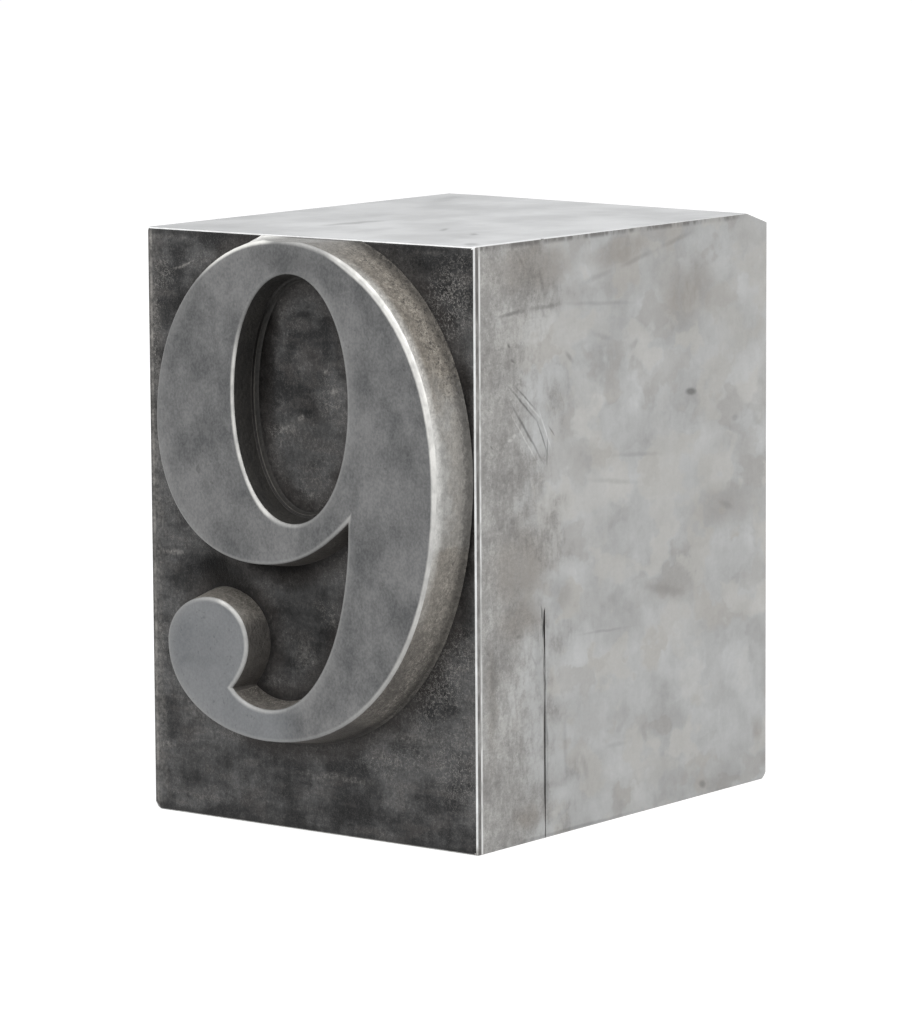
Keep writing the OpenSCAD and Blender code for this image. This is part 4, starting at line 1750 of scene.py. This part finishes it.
@dataclass(frozen=True)
class DraftedFlank(Recipe):
    """Flanks of the figure: pale along the right of the bowl, brown and gritty above and below, dark within and at
    the foot as painted shade, with painted highlights under the rim and at the head.
    """

    seed: float = 61.0
    rough: float = 0.55
    metal: float = 0.35
    bump: float = 0.028
    pale: Colour = shade(160, 159, 156)
    brown: Colour = shade(118, 111, 101)
    # Dark metal of the lower flanks and pits, and the painted shade within the figure
    dark: Colour = shade(74, 71, 68)
    grit: Colour = shade(188, 182, 172)
    # Colour of the painted highlights under the rim and at the head
    rubbed: Colour = shade(232, 231, 228)

    def mix(self, bench: Bench) -> bpy.types.Material:
        """Mixes pale, brown and dark metal, painted shade and painted highlights by height, by side and by depth.

        Args:
            bench: Where it is mixed.

        Returns:
            The material.
        """
        _, right, up = bench.beside()
        depth = bench.y - Block().face_y
        fine = bench.grain((0.14, 0.14, 0.16), self.seed, 3.0, 0.8, 0.38, 0.62)
        clouds = bench.grain(1.4, self.seed + 2, 4.0, 0.6)
        lumps = bench.grain((0.35, 0.4, 0.5), self.seed + 6, 4.0, 0.7, 0.38, 0.62)
        pits = bench.grain((0.16, 0.2, 0.2), self.seed + 8, 3.0, 0.75, 0.48, 0.34)
        flecks = bench.creases((0.24, 0.24, 0.32), self.seed + 4, 0.048)
        height = bench.z + (clouds - 0.5) * 1.6
        upper = height.step(17.0, 20.6) * right.step(0.05, 0.5)
        waist = height.step(14.2, 12.6)
        low = (height + depth * 0.8).step(12.4, 7.6)
        # Painted shade on the flanks inside the figure that don't look up
        within = bench.x.step(4.6, 3.2) * up.step(0.75, 0.35)
        crown = bench.z.step(22.4, 23.4)
        # Painted highlights: on the head's upper left flank, and just under the rim where the flank looks right
        head = right.step(-0.08, -0.3) * up.step(0.5, 0.8) * crown
        near_rim = depth.step(0.6, 0.12) * right.step(0.2, 0.7) * height.step(9.0, 14.0)
        coarse = (depth + (clouds - 0.5) * 0.8).step(0.5, 1.3)
        gritty = (upper | waist * 0.5 | 0.12) * (0.45 + coarse * 0.55) * (1.0 - within)
        colour = bench.coats(
            self.pale,
            (upper * 0.85 | waist * 0.7 | coarse * 0.4 * right.step(0.2, 0.6), self.brown),
            (low * 0.76 | within * 0.95, self.dark),
            ((flecks + fine * lumps * 0.2) * gritty, self.grit),
            (pits * gritty * 0.95, self.dark),
            (near_rim * 0.5 * (1.0 - within) | head, self.rubbed))
        # Painted shade at the foot of the flanks, beside the shoulder
        foot = (depth + (fine - 0.5) * 0.3).step(1.35, 1.85) * (1.0 - head)
        level = (0.7 + fine * 0.4 * (0.3 + gritty) + lumps * 0.24) * (1.0 + low * 0.3) * (1.0 - foot * 0.6)
        level = level * (1.0 - crown * up.step(0.7, 0.97) * (1.0 - head) * 0.3)
        return bench.finish(bench.tone(colour, level), self.rough, self.metal,
                            fine * 0.5 + flecks * gritty + lumps * 0.4, self.bump)


@dataclass(frozen=True)
class CounterWall(Recipe):
    """Nearly black wall of the closed counter, with a faint rubbed line along its ledge."""

    seed: float = 81.0
    rough: float = 0.6
    metal: float = 0.3
    dark: Colour = shade(28, 27, 26)
    soot: Colour = shade(50, 48, 45)
    ledge: Colour = shade(112, 109, 104)
    ledge_y: float = -10.6

    def mix(self, bench: Bench) -> bpy.types.Material:
        """Mixes soot and the ledge's line.

        Args:
            bench: Where it is mixed.

        Returns:
            The material.
        """
        clouds = bench.grain((1.0, 1.0, 2.0), self.seed, 4.0, 0.6)
        fine = bench.grain(0.16, self.seed + 2, 4.0, 0.65)
        above = bench.y.step(self.ledge_y - 0.07, self.ledge_y)
        line = above * bench.y.step(self.ledge_y + 0.1, self.ledge_y + 0.03) * bench.z.step(21.5, 19.0)
        colour = bench.coats(
            self.dark,
            (clouds * 0.7 + fine * 0.3, self.soot),
            (line * (0.35 + clouds * 0.5), self.ledge))
        return bench.finish(bench.tone(colour, 0.9 + fine * 0.2), self.rough, self.metal, fine, self.bump)


@dataclass(frozen=True)
class PlainMetal(Recipe):
    """Plain mottled metal for places that are in shade or out of the photograph."""

    rough: float = 0.55
    size: float = 0.8
    dark: Colour = shade(120, 119, 117)
    pale: Colour = shade(158, 157, 154)

    def mix(self, bench: Bench) -> bpy.types.Material:
        """Mixes two greys.

        Args:
            bench: Where it is mixed.

        Returns:
            The material.
        """
        clouds = bench.grain(self.size, self.seed, 4.0, 0.6)
        fine = bench.grain(self.size / 6, self.seed + 5, 4.0, 0.65)
        colour = bench.tone(bench.coats(self.dark, (clouds, self.pale)), 0.92 + fine * 0.16)
        return bench.finish(colour, self.rough, self.metal, fine, self.bump)


@dataclass(frozen=True)
class HeadSide(Recipe):
    """Pale silvery head side, with a few dark smudges near its front and a painted highlight along its right edge."""

    seed: float = 71.0
    rough: float = 0.55
    metal: float = 0.35
    bump: float = 0.006
    light: float = 1.2
    pale: Colour = shade(212, 213, 214)
    dull: Colour = shade(190, 191, 192)
    # Colour of the painted highlight along the right edge
    rubbed: Colour = shade(244, 245, 246)
    # Dark smudges, as [x, y]
    smudges: tuple[Mark, ...] = (
        Mark((-2.5, -3.4), (0.6, 2.6), 0.9, -8), Mark((-6.8, 8.6), (0.7, 3.0), 0.45, 22),
        Mark((-6.8, -7.4), (2.8, 2.0), 0.4), Mark((-5.0, 3.0), (5.0, 9.0), 0.26),
        scratch((2.2, -3.0), (3.2, -4.8), 0.24, 0.9), scratch((4.6, -4.2), (5.6, -5.8), 0.28),
        Mark((2.6, 6.4), (3.4, 1.6), 0.2), Mark((5.6, -5.8), (2.4, 1.2), 0.3, -30),
        Mark((7.9, -8.7), (0.8, 0.5), 0.9, -40), Mark((-8.0, -4.0), (5.0, 9.0), 0.3))

    def mix(self, bench: Bench) -> bpy.types.Material:
        """Mixes soft clouds, placed smudges and the painted highlight along the right edge.

        Args:
            bench: Where it is mixed.

        Returns:
            The material.
        """
        clouds = bench.grain((3.0, 4.0, 3.0), self.seed, 3.0)
        fine = bench.grain(0.25, self.seed + 4, 4.0, 0.65)
        smudges = bench.marks(Face.TOP, self.smudges, 0.4)
        # Painted highlight along the right edge, strongest towards the front
        edge = bench.x.step(8.5, 8.68) * bench.y.step(7.0, -9.0)
        colour = bench.coats(self.dull, (clouds, self.pale), (edge * 0.9, self.rubbed))
        level = (0.98 + fine * 0.04) * (1.0 - smudges * 0.36) * (1 / self.light)
        return bench.finish(bench.tone(colour, level), self.rough + fine * 0.06, self.metal, fine, self.bump)


def mix_finishes() -> dict[Finish, bpy.types.Material]:
    """Mixes every finish.

    Returns:
        Material of each finish.
    """
    recipes: dict[Finish, Recipe] = {
        Finish.LAND: RubbedFace(),
        Finish.FLANK: DraftedFlank(),
        Finish.WALL: CounterWall(),
        Finish.CAST: DarkCast(),
        Finish.RIGHT: PlanedSide(marked=True),
        Finish.LEFT: PlanedSide(seed=90.0),
        Finish.LOWER: PlanedSide(seed=120.0),
        Finish.FOOT: PlanedSide(seed=150.0),
        Finish.HEAD: HeadSide(),
        Finish.EDGE: EdgeHighlightAndWear(),
        Finish.JOINT: PlainMetal(seed=83.0, rough=0.7, metal=0.2, size=0.5, dark=shade(38, 36, 35),
                                 pale=shade(66, 63, 60)),
        Finish.ANCHOR: PlainMetal(seed=87.0)}
    return {finish: recipe.mix(Bench.for_piece(finish.value)) for finish, recipe in recipes.items()}


def towards(azimuth: float, elevation: float) -> Vector:
    """Direction from the block.

    Args:
        azimuth: Angle in degrees from the printing side towards the right.
        elevation: Angle in degrees over the floor.

    Returns:
        The direction, of length 1.
    """
    az, el = math.radians(azimuth), math.radians(elevation)
    return Vector((math.sin(az) * math.cos(el), -math.cos(az) * math.cos(el), math.sin(el)))


@dataclass(frozen=True)
class Lamp:
    """A soft lamp, placed by the direction from which it shines on the middle of the block."""

    name: str
    azimuth: float
    elevation: float
    distance: float
    size: float
    level: float

    def hang(self, target: Vector) -> None:
        """Adds the lamp.

        Args:
            target: Point on which it shines, in metres.
        """
        away = towards(self.azimuth, self.elevation)
        Workpiece.clear()
        bpy.ops.object.light_add(type="AREA", location=target + away * self.distance)
        lamp = bpy.context.object
        lamp.name = lamp.data.name = self.name
        lamp.rotation_euler = away.to_track_quat("Z", "Y").to_euler()
        lamp.data.shape = "DISK"
        lamp.data.size = self.size
        lamp.data.energy = self.level * math.pi ** 2 * self.distance ** 2


@dataclass(frozen=True)
class Studio:
    """White floor and world, lamps and camera."""

    target: tuple[float, float, float] = (0.0, 1.0, 12.65)
    azimuth: float = 37.5208
    elevation: float = 8.0167
    roll: float = -0.35365
    distance: float = 232.2848
    right: float = -0.33063
    up: float = -0.1853
    lens: float = 187.185
    clip_start: float = 0.01
    world_level: float = 0.45
    floor_size: float = 6.0
    floor_white: float = 0.8
    floor_seen: float = 0.3
    floor_glow: float = 0.86
    lamps: tuple[Lamp, ...] = (
        Lamp("key", 75.0, 42.0, 0.45, 0.3, 0.5),
        Lamp("top", -40.0, 70.0, 0.5, 0.4, 0.4),
        Lamp("front", -15.0, 20.0, 0.5, 0.4, 0.2))

    def build(self) -> None:
        """Sets up the floor, the world, the lamps and the camera."""
        self.lay_floor()
        self.light_world()
        for lamp in self.lamps:
            lamp.hang(Vector(self.target) * MM)
        self.place_camera()
        bpy.context.scene.view_settings.view_transform = "Standard"

    @staticmethod
    def seen(bench: Bench) -> Wire:
        """Share of rays that come from the camera, or by way of metal or glass."""
        rays = bench.node("ShaderNodeLightPath", {}).socket.node
        camera, glossy, clear = (Wire(bench, rays.outputs[n]) for n in
                                 ("Is Camera Ray", "Is Glossy Ray", "Is Transmission Ray"))
        return camera | glossy | clear

    def lay_floor(self) -> None:
        """Lays a white floor that keeps a faint soft shadow."""
        Workpiece.clear()
        bpy.ops.mesh.primitive_plane_add(size=self.floor_size)
        floor = Workpiece("floor").thing
        bench = Bench(bpy.data.materials.new("white_floor"))
        matt, thin = (bench.node("ShaderNodeBsdfDiffuse", {"Color": (grey, grey, grey, 1)})
                      for grey in (self.floor_white, self.floor_seen))
        glow = bench.node("ShaderNodeEmission", {"Color": (1, 1, 1, 1), "Strength": self.floor_glow})
        lit = bench.node("ShaderNodeAddShader", {0: thin, 1: glow})
        bench.node_out(bench.node("ShaderNodeMixShader", {0: self.seen(bench), 1: matt, 2: lit}))
        floor.data.materials.append(bench.owner)

    def light_world(self) -> None:
        """Makes the world white where it is seen, and a plain soft light elsewhere."""
        world = bpy.data.worlds.new("studio")
        bpy.context.scene.world = world
        bench = Bench(world)
        level = self.seen(bench) * (1 - self.world_level) + self.world_level
        bench.node_out(bench.node("ShaderNodeBackground", {"Color": (1, 1, 1, 1), "Strength": level}))

    def place_camera(self) -> None:
        """Puts the camera at the photograph's viewpoint."""
        az, roll = math.radians(self.azimuth), math.radians(self.roll)
        back = towards(self.azimuth, self.elevation)
        level = Vector((math.cos(az), math.sin(az), 0.0))
        upright = back.cross(level)
        across = level * math.cos(roll) + upright * math.sin(roll)
        up = upright * math.cos(roll) - level * math.sin(roll)
        place = Vector(self.target) + back * self.distance + across * self.right + up * self.up
        Workpiece.clear()
        bpy.ops.object.camera_add()
        camera = bpy.context.object
        axes = Matrix((across, up, back)).transposed()
        camera.matrix_world = Matrix.Translation(place * MM) @ axes.to_4x4()
        camera.data.lens = self.lens
        camera.data.clip_start = self.clip_start
        bpy.context.scene.camera = camera


def main() -> None:
    """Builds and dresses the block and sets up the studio."""
    logging.basicConfig(level=logging.INFO, format="%(message)s")
    finishes = mix_finishes()
    block = Block()
    for part in (CastFace(block), SolderSeam(block), BodyBlock(block), AnchorEnds(block)):
        piece = part.build(finishes)
        LOG.info("built %s", piece.name)
    Studio().build()
    bpy.context.view_layer.update()


if __name__ == "__main__":
    main()
